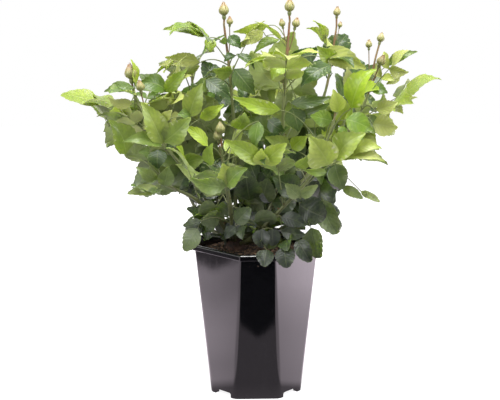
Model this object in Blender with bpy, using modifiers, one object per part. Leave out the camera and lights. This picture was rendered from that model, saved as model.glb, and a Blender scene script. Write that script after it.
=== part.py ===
"""A budding shrub rose in a tall square nursery container.

Metres, +Z up. The origin is the middle of the container's footprint, on the floor. The container is
square with cut corners, and its four corner panels face -Y, +X, +Y and -X. Every cane, leaf and bud is a
closed solid of its own, held a fraction of a millimetre clear of the piece that it grows from.
"""
from math import cos, pi, radians, sin, sqrt

import bmesh
import bpy
from mathutils import Matrix, Vector

# Container
POT_HEIGHT = 0.250
SIDE_TOP = 0.181        # across the flats just under the rim
SIDE_FOOT = 0.1573      # across the flats at the floor
CORNER_TOP = 0.0555     # width of a corner panel just under the rim
CORNER_FOOT = 0.073     # width of a corner panel at the floor
WALL = 0.0018
RIM_HEIGHT = 0.009
RIM_LIP = 0.004         # how far the rim band stands out from the wall
FOOT_HEIGHT = 0.008     # the side walls stop this far above the floor
FOOT_DEPTH = 0.009      # thickness of the four corner feet
NOTCH_WIDTH = 0.035     # gap between neighbouring feet
BASE_THICKNESS = 0.002
CUTTER_REACH = 0.010    # how far a cutter runs past the surface that it opens
NOTCH_LENGTH = 0.040    # how far a notch cutter runs across a side wall
DRAIN_RADIUS = 0.006
DRAIN_RING = 0.048      # distance of the outer drain holes from the axis

# Potting mix and the woody base of the plant
SOIL_EDGE = 0.231
SOIL_CROWN = 0.236
CROWN_SHARE = 0.55      # size of the level crown against the edge
GAP = 0.0004            # clearance kept between two pieces that meet
UNION_CENTER = Vector((-0.032, 0.002, 0.240))
UNION_RADIUS = 0.018
SHANK_RADIUS = 0.008
SHANK_DEPTH = 0.100
STUB_END = Vector((0.024, 0.030, 0.274))
STUB_RADIUS = 0.0105

# Leaves
PETIOLE_RADIUS = 0.0012
BLADE_THICKNESS = 0.0008
END_WIDTHS = ((0.33, 0.310), (0.70, 0.245))      # place along a blade, half width over length
PAIR_WIDTHS = ((0.45, 0.240),)
BLADE_FOLD = 0.28       # rise of the blade's edges over its half width
BLADE_ARCH = 0.07       # rise of the midrib over its length
PAIR_SPREAD = radians(62)
PAIR_DROOP = 0.12       # how far the side leaflets hang, over their length
NECK = 0.0009           # half width of a leaflet where it joins the rachis
RACHIS_STEPS = 4
# by number of leaflets: where along the leaf its end leaflet starts, then each pair's place and its
# size against that one
LEAFLETS = {
    1: (0.14, ()),
    3: (0.46, ((0.38, 0.86),)),
    5: (0.56, ((0.48, 0.90), (0.28, 0.74))),
}

# Buds: height over the bud's own and radius over its width, from the tip down
BUD_PROFILE = ((1.00, 0.02), (0.88, 0.20), (0.70, 0.40), (0.50, 0.50), (0.34, 0.44), (0.27, 0.24),
               (0.20, 0.25), (0.08, 0.17))
BUD_SIDES = 9
BUD_HEIGHT = 2.1        # height of the closed flower with its hip, over its width
STALK_RADIUS = 0.0012   # of a side bud; an end bud's stalk goes on from its cane
STALK_FOOT = 0.3        # clearance of an end bud's stalk over its cane's radius
STALK_TAPER = 0.025     # height of the lowest ring of a short stalk, over the whole height

# Every shoot: where it starts, the places that it passes, its radius at both ends, then its buds and its
# leaves. A shoot that starts on another one names it and how far along. A bud is its tip's place, its
# width and how far along the shoot its stalk leaves; 1 is the shoot's own end. A leaf is how far along
# it grows, its tip's place, the turn of its blade about its own line, the rise of its line and its
# number of leaflets.
SHOOTS = {
    "low_left": {
        "start": ("union",),
        "path": ((-0.067, -0.030, 0.300), (-0.100, -0.044, 0.330), (-0.130, -0.051, 0.347),
                 (-0.158, -0.054, 0.360)),
        "radius": (0.0040, 0.0022),
        "leaves": ((0.58, (-0.127, -0.125, 0.428), -35, 0.06, 5),
                   (0.95, (-0.218, -0.005, 0.455), 47, 0.20, 3),
                   (0.97, (-0.197, -0.111, 0.365), 1, -0.15, 5),
                   (0.30, (-0.113, -0.072, 0.269), -65, 0.20, 5)),
    },
    "far_left": {
        "start": ("low_left", 0.42),
        "path": ((-0.118, -0.040, 0.380), (-0.152, -0.052, 0.425), (-0.180, -0.060, 0.470),
                 (-0.196, -0.060, 0.514)),
        "radius": (0.0028, 0.0018),
        "buds": (((-0.200, -0.060, 0.549), 0.018, 1.0), ((-0.184, -0.068, 0.524), 0.013, 0.80)),
        "leaves": ((0.68, (-0.311, -0.030, 0.496), 5, 0.06, 5),
                   (0.88, (-0.225, -0.146, 0.513), -23, 0.26, 1),
                   (0.86, (-0.126, -0.037, 0.490), 14, -0.00, 1)),
    },
    "back_left": {
        "start": ("union",),
        "path": ((-0.058, 0.038, 0.290), (-0.078, 0.056, 0.370), (-0.097, 0.066, 0.440),
                 (-0.104, 0.066, 0.520)),
        "radius": (0.0036, 0.0018),
        "leaves": ((0.86, (-0.147, -0.023, 0.530), 31, 0.30, 5),
                   (0.55, (-0.137, 0.106, 0.493), -58, -0.15, 5),
                   (0.97, (-0.065, 0.193, 0.545), -48, 0.15, 3)),
    },
    "center": {
        "start": ("union",),
        "path": ((-0.033, 0.010, 0.300), (-0.032, 0.026, 0.380), (-0.035, 0.030, 0.447),
                 (-0.042, 0.030, 0.530), (-0.050, 0.030, 0.600)),
        "radius": (0.0036, 0.0018),
        "buds": (((-0.051, 0.030, 0.639), 0.016, 1.0), ((-0.041, 0.012, 0.617), 0.01, 0.86)),
        "leaves": ((0.84, (-0.137, -0.032, 0.590), -17, 0.23, 3),
                   (0.78, (0.016, 0.022, 0.609), -5, 0.11, 3)),
    },
    "tall": {
        "start": ("union",),
        "path": ((0.008, -0.018, 0.284), (0.026, -0.014, 0.320), (0.042, -0.004, 0.400),
                 (0.046, 0.000, 0.488), (0.054, 0.000, 0.608)),
        "radius": (0.0046, 0.0018),
        "buds": (((0.054, 0.000, 0.646), 0.0155, 1.0), ((0.041, -0.002, 0.614), 0.0095, 0.90),
                 ((0.067, 0.002, 0.616), 0.012, 0.88)),
        "leaves": ((0.86, (-0.020, -0.063, 0.541), 19, 0.03, 3),
                   (0.76, (0.189, 0.003, 0.518), 16, 0.22, 5)),
    },
    "back_right": {
        "start": ("tall", 0.30),
        "path": ((0.060, 0.028, 0.370), (0.092, 0.052, 0.430), (0.120, 0.068, 0.490),
                 (0.137, 0.078, 0.588)),
        "radius": (0.0030, 0.0017),
        "buds": (((0.139, 0.080, 0.629), 0.0115, 1.0),),
        "leaves": ((0.84, (0.093, 0.018, 0.609), -32, 0.05, 3),
                   (0.62, (0.221, 0.144, 0.523), 50, -0.15, 5)),
    },
    "right": {
        "start": ("tall", 0.20),
        "path": ((0.062, -0.006, 0.335), (0.110, 0.008, 0.385), (0.155, 0.020, 0.432),
                 (0.183, 0.028, 0.478), (0.194, 0.030, 0.528)),
        "radius": (0.0032, 0.0018),
        "buds": (((0.209, 0.040, 0.589), 0.012, 1.0), ((0.186, 0.030, 0.578), 0.01, 0.93),
                 ((0.206, -0.004, 0.556), 0.014, 0.86)),
        "leaves": ((0.68, (0.302, -0.000, 0.515), 7, 0.05, 5),
                   (0.88, (0.249, 0.008, 0.562), 61, 0.05, 5),
                   (0.50, (0.188, -0.093, 0.510), 49, 0.20, 3),
                   (0.30, (0.138, -0.065, 0.355), 54, 0.30, 5)),
    },
    "front_right": {
        "start": ("union",),
        "path": ((-0.004, -0.046, 0.268), (0.045, -0.070, 0.325), (0.090, -0.090, 0.385),
                 (0.118, -0.100, 0.465)),
        "radius": (0.0036, 0.0018),
        "buds": (((0.124, -0.100, 0.503), 0.016, 1.0),),
        "leaves": ((0.42, (0.006, -0.194, 0.412), 0, 0.30, 5),
                   (0.60, (0.202, -0.107, 0.394), -22, 0.21, 3),
                   (0.78, (0.146, -0.185, 0.447), -8, -0.09, 5),
                   (0.12, (0.006, -0.100, 0.268), -43, 0.16, 3)),
    },
    "front": {
        "start": ("union",),
        "path": ((-0.040, -0.035, 0.275), (-0.042, -0.065, 0.320), (-0.050, -0.088, 0.370),
                 (-0.058, -0.100, 0.424)),
        "radius": (0.0032, 0.0017),
        "buds": (((-0.059, -0.100, 0.463), 0.014, 1.0),),
        "leaves": ((0.30, (-0.070, -0.190, 0.402), 17, 0.18, 5),),
    },
    "low_right": {
        "start": ("union",),
        "path": ((0.030, -0.028, 0.262), (0.068, -0.034, 0.278), (0.100, -0.032, 0.295),
                 (0.126, -0.026, 0.312)),
        "radius": (0.0026, 0.0016),
        "leaves": ((0.50, (0.046, -0.112, 0.259), 66, 0.12, 5),
                   (0.80, (0.138, 0.000, 0.264), 71, 0.23, 5)),
    },
    "rear": {
        "start": ("union",),
        "path": ((-0.020, 0.055, 0.290), (0.000, 0.090, 0.360), (0.016, 0.118, 0.430),
                 (0.012, 0.132, 0.505)),
        "radius": (0.0036, 0.0018),
        "leaves": ((0.85, (0.045, 0.196, 0.544), 24, -0.15, 5),
                   (0.62, (-0.008, 0.176, 0.491), -31, -0.15, 5),
                   (0.30, (0.063, 0.118, 0.249), -75, 0.18, 5)),
    },
    "rear_left": {
        "start": ("union",),
        "path": ((-0.086, 0.040, 0.272), (-0.120, 0.085, 0.330), (-0.146, 0.106, 0.380),
                 (-0.158, 0.114, 0.430)),
        "radius": (0.0032, 0.0017),
        "leaves": ((0.85, (-0.272, 0.063, 0.467), 75, 0.01, 5),
                   (0.45, (-0.208, 0.126, 0.315), -69, 0.30, 5)),
    },
}


# ---------------------------------------------------------------- scene and shared helpers

def clear_scene():
    for obj in list(bpy.data.objects):
        bpy.data.objects.remove(obj, do_unlink=True)


def new_collection(name):
    collection = bpy.data.collections.new(name)
    bpy.context.scene.collection.children.link(collection)
    return collection


def make_material(name, color, roughness):
    material = bpy.data.materials.new(name)
    material.use_nodes = True
    shader = material.node_tree.nodes["Principled BSDF"]
    shader.inputs["Base Color"].default_value = (*color, 1.0)
    shader.inputs["Roughness"].default_value = roughness
    shader.inputs["Metallic"].default_value = 0.0
    return material


def mesh_object(name, bm, collection, material=None):
    mesh = bpy.data.meshes.new(name)
    bmesh.ops.recalc_face_normals(bm, faces=bm.faces)
    bm.to_mesh(mesh)
    bm.free()
    obj = bpy.data.objects.new(name, mesh)
    collection.objects.link(obj)
    if material:
        mesh.materials.append(material)
    return obj


def make_cutter(obj):
    obj.hide_render = True
    obj.display_type = "WIRE"
    return obj


def add_boolean(obj, other, operation="DIFFERENCE"):
    modifier = obj.modifiers.new(f"{operation.title()} {other.name}", "BOOLEAN")
    modifier.operation = operation
    modifier.solver = "EXACT"
    modifier.use_self = operation == "UNION"    # the leaflets of a leaf meet each other at the rachis
    modifier.object = other


def smooth_line(points, steps):
    """Points on a Catmull-Rom curve through the given ones, `steps` to a stretch."""
    ends = [2 * points[0] - points[1], *points, 2 * points[-1] - points[-2]]
    line = []
    for a, b, c, d in zip(ends, ends[1:], ends[2:], ends[3:]):
        for k in range(steps):
            t = k / steps
            line.append(0.5 * (2 * b + (c - a) * t + (2 * a - 5 * b + 4 * c - d) * t ** 2
                               + (3 * b - a - 3 * c + d) * t ** 3))
    return line + [points[-1]]


def tube_curve(name, points, radii, resolution, collection):
    """A round tube through the points, with its ends filled."""
    curve = bpy.data.curves.new(name, "CURVE")
    curve.dimensions = "3D"
    curve.bevel_depth = 1.0
    curve.bevel_resolution = resolution
    curve.use_fill_caps = True
    spline = curve.splines.new("POLY")
    spline.points.add(len(points) - 1)
    for knot, place, radius in zip(spline.points, points, radii):
        knot.co = (*place, 1.0)
        knot.radius = radius
    obj = bpy.data.objects.new(name, curve)
    collection.objects.link(obj)
    return obj


def curve_to_mesh(obj, collection, material):
    """The curve's own tube as a closed mesh, in a new object of the same name."""
    graph = bpy.context.evaluated_depsgraph_get()
    mesh = bpy.data.meshes.new_from_object(obj.evaluated_get(graph))
    bm = bmesh.new()
    bm.from_mesh(mesh)
    bpy.data.meshes.remove(mesh)
    bmesh.ops.remove_doubles(bm, verts=bm.verts, dist=0.00002)
    name, place = obj.name, obj.matrix_world.copy()
    bpy.data.objects.remove(obj, do_unlink=True)
    solid = mesh_object(name, bm, collection, material)
    solid.matrix_world = place
    return solid


# ---------------------------------------------------------------- container and potting mix

def corner_reach(side, corner):
    """Distance from the axis to a corner panel of a square with cut corners."""
    return side / sqrt(2) - corner / 2


def wall_section(z, inset=0.0):
    """Corner reach and corner width of the container's outside at height z, moved in by `inset`."""
    t = z / (POT_HEIGHT - RIM_HEIGHT)
    side = SIDE_FOOT + (SIDE_TOP - SIDE_FOOT) * t
    corner = CORNER_FOOT + (CORNER_TOP - CORNER_FOOT) * t
    return corner_reach(side, corner) - inset, corner - 2 * (sqrt(2) - 1) * inset


def section_ring(bm, z, inset=0.0, scale=1.0):
    reach, corner = wall_section(z, inset)
    ring = []
    for k in range(4):
        turn = Matrix.Rotation(k * pi / 2, 3, "Z")
        for half in (-corner / 2, corner / 2):
            ring.append(bm.verts.new(turn @ Vector((reach * scale, half * scale, z))))
    return ring


def lofted(name, rings, collection, material=None):
    """A closed solid through the container's sections, each a height, an inset and a scale."""
    bm = bmesh.new()
    loops = [section_ring(bm, *ring) for ring in rings]
    for low, high in zip(loops, loops[1:]):
        for k in range(len(low)):
            after = (k + 1) % len(low)
            bm.faces.new((low[k], low[after], high[after], high[k]))
    bm.faces.new(loops[0])
    bm.faces.new(loops[-1])
    return mesh_object(name, bm, collection, material)


def cylinder_between(name, start, end, radius_start, radius_end, segments, collection, material=None):
    axis = end - start
    bm = bmesh.new()
    place = Matrix.Translation((start + end) / 2) @ axis.to_track_quat("Z", "Y").to_matrix().to_4x4()
    bmesh.ops.create_cone(bm, cap_ends=True, segments=segments, radius1=radius_start,
                          radius2=radius_end, depth=axis.length, matrix=place)
    return mesh_object(name, bm, collection, material)


def build_pot(parts, cutters, material):
    under_rim = POT_HEIGHT - RIM_HEIGHT
    floor_top = FOOT_HEIGHT + BASE_THICKNESS
    pot = lofted("pot", ((0.0,), (under_rim,), (under_rim, -RIM_LIP), (POT_HEIGHT, -RIM_LIP)),
                 parts, material)
    inside = lofted("cut_inside", ((floor_top, WALL), (POT_HEIGHT + CUTTER_REACH, WALL)), cutters)
    recess = lofted("cut_recess", ((-CUTTER_REACH, FOOT_DEPTH), (FOOT_HEIGHT, FOOT_DEPTH)), cutters)
    add_boolean(pot, make_cutter(inside))
    add_boolean(pot, make_cutter(recess))
    for k in range(4):
        add_boolean(pot, make_cutter(notch_cutter(k, cutters)))
    for k in range(5):
        add_boolean(pot, make_cutter(drain_cutter(k, cutters)))
    return pot


def notch_cutter(k, cutters):
    """The gap between two feet, under one side wall."""
    height = 2 * CUTTER_REACH
    bm = bmesh.new()
    bmesh.ops.create_cube(bm, size=1.0)
    bmesh.ops.scale(bm, vec=(NOTCH_LENGTH, NOTCH_WIDTH, height), verts=bm.verts)
    bmesh.ops.translate(bm, vec=(SIDE_FOOT / 2, 0, FOOT_HEIGHT - height / 2), verts=bm.verts)
    bmesh.ops.rotate(bm, matrix=Matrix.Rotation(pi / 4 + k * pi / 2, 3, "Z"), verts=bm.verts)
    return mesh_object(f"cut_notch_{k + 1}", bm, cutters)


def drain_cutter(k, cutters):
    """The middle drain hole, then the four towards the side walls."""
    ring = DRAIN_RING if k else 0.0
    turn = pi / 4 + k * pi / 2
    foot = Vector((ring * cos(turn), ring * sin(turn), 0.0))
    top = foot + Vector((0, 0, 2 * FOOT_HEIGHT + BASE_THICKNESS))
    return cylinder_between(f"cut_drain_{k + 1}", foot, top, DRAIN_RADIUS, DRAIN_RADIUS, 12, cutters)


def union_shape(name, grow, collection, material=None):
    """The swollen graft union with its buried shank and one sawn-off cane, `grow` larger all round."""
    bm = bmesh.new()
    bmesh.ops.create_uvsphere(bm, u_segments=14, v_segments=9, radius=UNION_RADIUS + grow,
                              matrix=Matrix.Translation(UNION_CENTER))
    union = mesh_object(name, bm, collection, material)
    foot = UNION_CENTER - Vector((0, 0, SHANK_DEPTH + grow))
    shank = cylinder_between(f"{name}_shank", foot, UNION_CENTER, 0.6 * SHANK_RADIUS + grow,
                             SHANK_RADIUS + grow, 10, collection)
    stub = cylinder_between(f"{name}_stub", UNION_CENTER, STUB_END, 0.7 * STUB_RADIUS + grow,
                            STUB_RADIUS + grow, 12, collection)
    return union, shank, stub


def build_base(parts, cutters, soil_material, wood_material):
    union, shank, stub = union_shape("graft_union", 0.0, parts, wood_material)
    for piece in (shank, stub):
        cutters.objects.link(piece)
        parts.objects.unlink(piece)
        add_boolean(union, make_cutter(piece), "UNION")
    low = FOOT_HEIGHT + BASE_THICKNESS + GAP
    soil = lofted("potting_mix", ((low, WALL + GAP), (SOIL_EDGE, WALL + GAP),
                                  (SOIL_CROWN, WALL + GAP, CROWN_SHARE)), parts, soil_material)
    for piece in union_shape("cut_union", GAP, cutters):
        add_boolean(soil, make_cutter(piece))


# ---------------------------------------------------------------- shoots

class Shoot:
    """A cane's middle line and its radius along it."""

    def __init__(self, points, radius):
        self.line = smooth_line(points, 2)
        steps = [(b - a).length for a, b in zip(self.line, self.line[1:])]
        self.length = sum(steps)
        self.along = [sum(steps[:k]) / self.length for k in range(len(self.line))]
        self.ends = radius

    def radius(self, t):
        return self.ends[0] + (self.ends[1] - self.ends[0]) * t

    def place(self, t):
        """The middle line's point and direction at t, from 0 at the foot to 1 at the tip."""
        k = max(i for i in range(len(self.line) - 1) if self.along[i] <= t)
        a, b = self.line[k], self.line[k + 1]
        share = (t - self.along[k]) / (self.along[k + 1] - self.along[k])
        return a.lerp(b, share), (b - a).normalized()

    def side_start(self, t, towards, radius):
        """Where something of this radius starts beside the cane, on its way towards a place."""
        foot, axis = self.place(t)
        way = (towards - foot).normalized()
        beside = (way - axis * way.dot(axis)).normalized()
        return foot + beside * (self.radius(t) + 2 * GAP + radius * abs(way.dot(axis)))


def first_point(spec, shoots):
    """The foot of a shoot, just clear of what it grows from."""
    start, first = spec["start"], Vector(spec["path"][0])
    if start[0] == "union":
        way = (first - UNION_CENTER).normalized()
        return UNION_CENTER + way * (UNION_RADIUS + GAP)
    return shoots[start[0]].side_start(start[1], first, spec["radius"][0])


def build_canes(parts, material):
    shoots = {}
    for name, spec in SHOOTS.items():
        points = [first_point(spec, shoots)] + [Vector(p) for p in spec["path"]]
        shoot = Shoot(points, spec["radius"])
        radii = [shoot.radius(t) for t in shoot.along]
        cane = tube_curve(f"cane_{name}", shoot.line, radii, 2, parts)
        cane.data.materials.append(material)
        shoots[name] = shoot
    return shoots


# ---------------------------------------------------------------- buds

def build_bud(name, shoot, spec, parts, material):
    """A closed bud on its stalk, turned about its own axis."""
    tip, width, along = Vector(spec[0]), spec[1], spec[2]
    if along < 1.0:
        stalk = STALK_RADIUS
        foot = shoot.side_start(along, tip, stalk)
    else:
        stalk = shoot.radius(1.0)
        end = shoot.line[-1]
        foot = end + (tip - end).normalized() * (GAP + STALK_FOOT * stalk)
    way = (tip - foot).normalized()
    height = (tip - foot).length
    bud_height = BUD_HEIGHT * width
    rise = height - bud_height
    profile = [(rise + share * bud_height, radius * width) for share, radius in BUD_PROFILE]
    profile += [(max(rise, STALK_TAPER * height), stalk), (0.0, stalk)]
    bm = bmesh.new()
    verts = [bm.verts.new((0, 0, height))]
    verts += [bm.verts.new((radius, 0, z)) for z, radius in profile]
    verts.append(bm.verts.new((0, 0, 0)))
    for a, b in zip(verts, verts[1:]):
        bm.edges.new((a, b))
    bud = mesh_object(name, bm, parts, material)
    screw = bud.modifiers.new("Turned", "SCREW")
    screw.steps = BUD_SIDES
    screw.render_steps = BUD_SIDES
    screw.use_merge_vertices = True
    screw.merge_threshold = 0.00005
    bud.matrix_world = Matrix.Translation(foot) @ way.to_track_quat("Z", "Y").to_matrix().to_4x4()


# ---------------------------------------------------------------- leaves

class Spine:
    """The line of a leaf from its foot to its tip, with the blade's normal along it."""

    def __init__(self, foot, tip, rise, turn):
        chord = tip - foot
        self.foot, self.tip, self.turn = foot, tip, radians(turn)
        self.knee = (foot + tip) / 2 + Vector((0, 0, 2 * rise * chord.length))

    def point(self, u):
        return self.foot.lerp(self.knee, u).lerp(self.knee.lerp(self.tip, u), u)

    def frame(self, u):
        """Direction, side and normal at u."""
        ahead = (self.knee.lerp(self.tip, u) - self.foot.lerp(self.knee, u)).normalized()
        up = Vector((0, 0, 1)) - ahead * ahead.z
        up = (Matrix.Rotation(self.turn, 3, ahead) @ up).normalized()
        return ahead, ahead.cross(up), up


def add_leaflet(bm, base, ahead, side, up, length, widths):
    """A leaf blade folded along its midrib: a grid, narrowed to a neck and a point."""
    rows = ((0.0, NECK / length), *widths, (1.0, 0.0))
    made = bmesh.ops.create_grid(bm, x_segments=2, y_segments=len(rows) - 1, size=1.0)
    for vert in made["verts"]:
        across, row = round(vert.co.x), round((vert.co.y + 1) / 2 * (len(rows) - 1))
        s, half = rows[row]
        rise = BLADE_FOLD * half * abs(across) + BLADE_ARCH * 4 * s * (1 - s)
        vert.co = base + length * (ahead * s + side * half * across + up * rise)
    bmesh.ops.remove_doubles(bm, verts=made["verts"], dist=0.0001)


def build_leaf(name, shoot, spec, parts, cutters, material):
    along, tip, turn, rise, count = spec
    tip = Vector(tip)
    foot = shoot.side_start(along, tip, PETIOLE_RADIUS)
    spine = Spine(foot, tip, rise, turn)
    spine_end, pairs = LEAFLETS[count]
    stops = {round(spine_end * k / RACHIS_STEPS, 3) for k in range(RACHIS_STEPS + 1)}
    line = [spine.point(u) for u in sorted(stops.union(u for u, _ in pairs))]
    rachis = tube_curve(name, line, [PETIOLE_RADIUS] * len(line), 0, parts)
    leaf = curve_to_mesh(rachis, parts, material)

    bm = bmesh.new()
    ahead, _, up = spine.frame(spine_end)
    base = spine.point(spine_end) - ahead * 0.5 * PETIOLE_RADIUS
    length = (tip - base).length
    ahead = (tip - base) / length
    side = ahead.cross(up).normalized()
    add_leaflet(bm, base, ahead, side, side.cross(ahead), length, END_WIDTHS)
    for u, size in pairs:
        ahead, side, up = spine.frame(u)
        for hand in (-1, 1):
            way = ahead * cos(PAIR_SPREAD) + side * hand * sin(PAIR_SPREAD) - up * PAIR_DROOP
            way.normalize()
            across = way.cross(up).normalized()
            start = spine.point(u) + side * hand * 0.3 * PETIOLE_RADIUS
            add_leaflet(bm, start, way, across, across.cross(way), size * length, PAIR_WIDTHS)
    blades = mesh_object(f"blades_{name}", bm, cutters, material)
    solidify = blades.modifiers.new("Thickness", "SOLIDIFY")
    solidify.thickness = BLADE_THICKNESS
    solidify.offset = 0.0
    add_boolean(leaf, make_cutter(blades), "UNION")


def build_plant(parts, cutters, materials):
    shoots = build_canes(parts, materials["cane"])
    for name, spec in SHOOTS.items():
        for k, bud in enumerate(spec.get("buds", ()), 1):
            build_bud(f"bud_{name}_{k}", shoots[name], bud, parts, materials["bud"])
        for k, leaf in enumerate(spec.get("leaves", ()), 1):
            build_leaf(f"leaf_{name}_{k}", shoots[name], leaf, parts, cutters, materials["leaf"])


def main():
    clear_scene()
    parts = new_collection("potted_rose")
    cutters = new_collection("cutters")
    materials = {
        "pot": make_material("black_container", (0.020, 0.020, 0.022), 0.30),
        "soil": make_material("potting_mix", (0.060, 0.040, 0.028), 0.95),
        "wood": make_material("old_wood", (0.110, 0.070, 0.045), 0.85),
        "cane": make_material("green_cane", (0.200, 0.180, 0.070), 0.55),
        "bud": make_material("bud", (0.450, 0.430, 0.200), 0.55),
        "leaf": make_material("leaf", (0.220, 0.330, 0.060), 0.45),
    }
    build_pot(parts, cutters, materials["pot"])
    build_base(parts, cutters, materials["soil"], materials["wood"])
    build_plant(parts, cutters, materials)


main()
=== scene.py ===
import math
import random
import bmesh
import bpy
import numpy as np
from mathutils import Matrix, Vector, noise


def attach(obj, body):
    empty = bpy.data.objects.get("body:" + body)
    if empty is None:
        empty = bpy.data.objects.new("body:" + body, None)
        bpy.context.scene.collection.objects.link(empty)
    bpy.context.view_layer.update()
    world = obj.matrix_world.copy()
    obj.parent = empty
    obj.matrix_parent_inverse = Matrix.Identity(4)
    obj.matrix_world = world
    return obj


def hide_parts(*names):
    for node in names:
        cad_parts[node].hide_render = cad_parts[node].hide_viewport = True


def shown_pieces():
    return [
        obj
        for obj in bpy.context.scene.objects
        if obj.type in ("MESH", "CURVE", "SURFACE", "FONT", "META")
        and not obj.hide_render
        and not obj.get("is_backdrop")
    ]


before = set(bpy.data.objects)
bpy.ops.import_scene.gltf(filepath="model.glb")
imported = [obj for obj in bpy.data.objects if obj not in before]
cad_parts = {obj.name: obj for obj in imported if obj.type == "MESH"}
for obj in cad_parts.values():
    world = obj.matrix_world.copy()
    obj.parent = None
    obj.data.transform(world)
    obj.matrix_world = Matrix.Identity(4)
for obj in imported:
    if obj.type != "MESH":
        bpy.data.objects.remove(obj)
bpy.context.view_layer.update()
scene = bpy.context.scene
scene.view_settings.view_transform = "Standard"


def addObject(name, data):
    item = bpy.data.objects.new(name, data)
    scene.collection.objects.link(item)
    return item


# ---- camera: a long lens a little above the plant's middle

cameraView = {"distance": 2.0, "aside": -0.0092, "height": 0.735, "azimuth": -2.02, "pitch": 11.78,
              "lens": 89.28, "sensor": 36.0, "farthest": 50}


def addCamera(view):
    data = bpy.data.cameras.new("studioCamera")
    data.lens, data.sensor_width, data.clip_end = view["lens"], view["sensor"], view["farthest"]
    camera = addObject("studioCamera", data)
    turn = Matrix.Rotation(math.radians(view["azimuth"]), 4, "Z")
    camera.location = turn @ Vector((view["aside"], -view["distance"], view["height"]))
    camera.rotation_euler = (math.radians(90 - view["pitch"]), 0, math.radians(view["azimuth"]))
    scene.camera = camera
    print("camera at", [round(v, 3) for v in camera.location])


addCamera(cameraView)

# ---- small helpers for shapes


def metres(place):
    # the tables below give places in millimetres
    return tuple(v / 1000 for v in place)


def smoothStep(low, high, x):
    t = min(max((x - low) / (high - low), 0.0), 1.0)
    return t * t * (3 - 2 * t)


def smoothLine(points, steps):
    # points on a Catmull-Rom curve through the given ones
    ends = [2 * points[0] - points[1], *points, 2 * points[-1] - points[-2]]
    line = []
    for a, b, c, d in zip(ends, ends[1:], ends[2:], ends[3:]):
        for k in range(steps):
            t = k / steps
            line.append(0.5 * (2 * b + (c - a) * t + (2 * a - 5 * b + 4 * c - d) * t ** 2
                               + (3 * b - a - 3 * c + d) * t ** 3))
    return line + [points[-1]]


def shadeSmooth(mesh, sharp):
    mesh.shade_smooth()
    mesh.set_sharp_from_angle(angle=math.radians(sharp))


class Shape:
    # vertices, faces and per-vertex values of one piece, gathered before its mesh is made

    def __init__(self):
        self.verts, self.faces, self.slots, self.uvs, self.tints = [], [], [], [], []

    def add(self, verts, faces, slot, uvs, tints):
        start = len(self.verts)
        self.verts += [tuple(v) for v in verts]
        self.faces += [tuple(start + i for i in face) for face in faces]
        self.slots += [slot] * len(faces)
        self.uvs += uvs
        self.tints += tints

    def make(self, name, materials, sharp):
        mesh = bpy.data.meshes.new(name)
        mesh.from_pydata(self.verts, [], self.faces)
        for material in materials:
            mesh.materials.append(material)
        mesh.polygons.foreach_set("material_index", self.slots)
        corners = np.zeros(len(mesh.loops), dtype=np.int32)
        mesh.loops.foreach_get("vertex_index", corners)
        uvs = np.array(self.uvs, dtype=np.float32)[corners]
        mesh.uv_layers.new(name="along").data.foreach_set("uv", uvs.ravel())
        rgba = np.ones((len(self.verts), 4), dtype=np.float32)
        rgba[:, :3] = np.array(self.tints, dtype=np.float32)
        mesh.attributes.new("tint", "FLOAT_COLOR", "POINT").data.foreach_set("color", rgba.ravel())
        shadeSmooth(mesh, sharp)
        return addObject(name, mesh)


def ringFaces(rings, sides):
    # the faces between rings of points, each ring above the one before it
    faces = []
    for low in range(0, (rings - 1) * sides, sides):
        high = low + sides
        faces += [(low + i, low + (i + 1) % sides, high + (i + 1) % sides, high + i) for i in range(sides)]
    return faces


def sheetFaces(rows, count):
    # the faces of a thin sheet: the front and the back of a grid of points, and a strip round its edge
    faces, last, size = [], rows * count, (rows + 1) * count
    for low in range(0, last, count):
        for a in range(low, low + count - 1):
            b, c, d = a + 1, a + 1 + count, a + count
            faces += [(a, b, c, d), (size + d, size + c, size + b, size + a)]
        high, end = low + count, low + count - 1
        faces += [(low, high, size + high, size + low), (end + count, end, size + end, size + end + count)]
    for j in range(count - 1):
        faces += [(j + 1, j, size + j, size + j + 1),
                  (last + j, last + j + 1, size + last + j + 1, size + last + j)]
    return faces


def addTube(shape, line, radii, sides, slot, tints):
    # a closed round tube along a line; its uv runs round in u and along in v
    verts, uvs, colors, side = [], [], [], None
    for k, (place, radius) in enumerate(zip(line, radii)):
        # a side and an up vector, carried along the line without twist
        ahead = (line[min(k + 1, len(line) - 1)] - line[max(k - 1, 0)]).normalized()
        side = ahead.orthogonal().normalized() if side is None else side
        side = (side - ahead * side.dot(ahead)).normalized()
        up = ahead.cross(side)
        for i in range(sides):
            turn = 2 * math.pi * i / sides
            verts.append(place + radius * (math.cos(turn) * side + math.sin(turn) * up))
            uvs.append((i / sides, k / (len(line) - 1)))
            colors.append(tints[k])
    last = (len(line) - 1) * sides
    caps = [tuple(range(sides - 1, -1, -1)), tuple(range(last, last + sides))]
    shape.add(verts, [caps[0], *ringFaces(len(line), sides), caps[1]], slot, uvs, colors)


# ---- small helpers for materials and node trees


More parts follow.
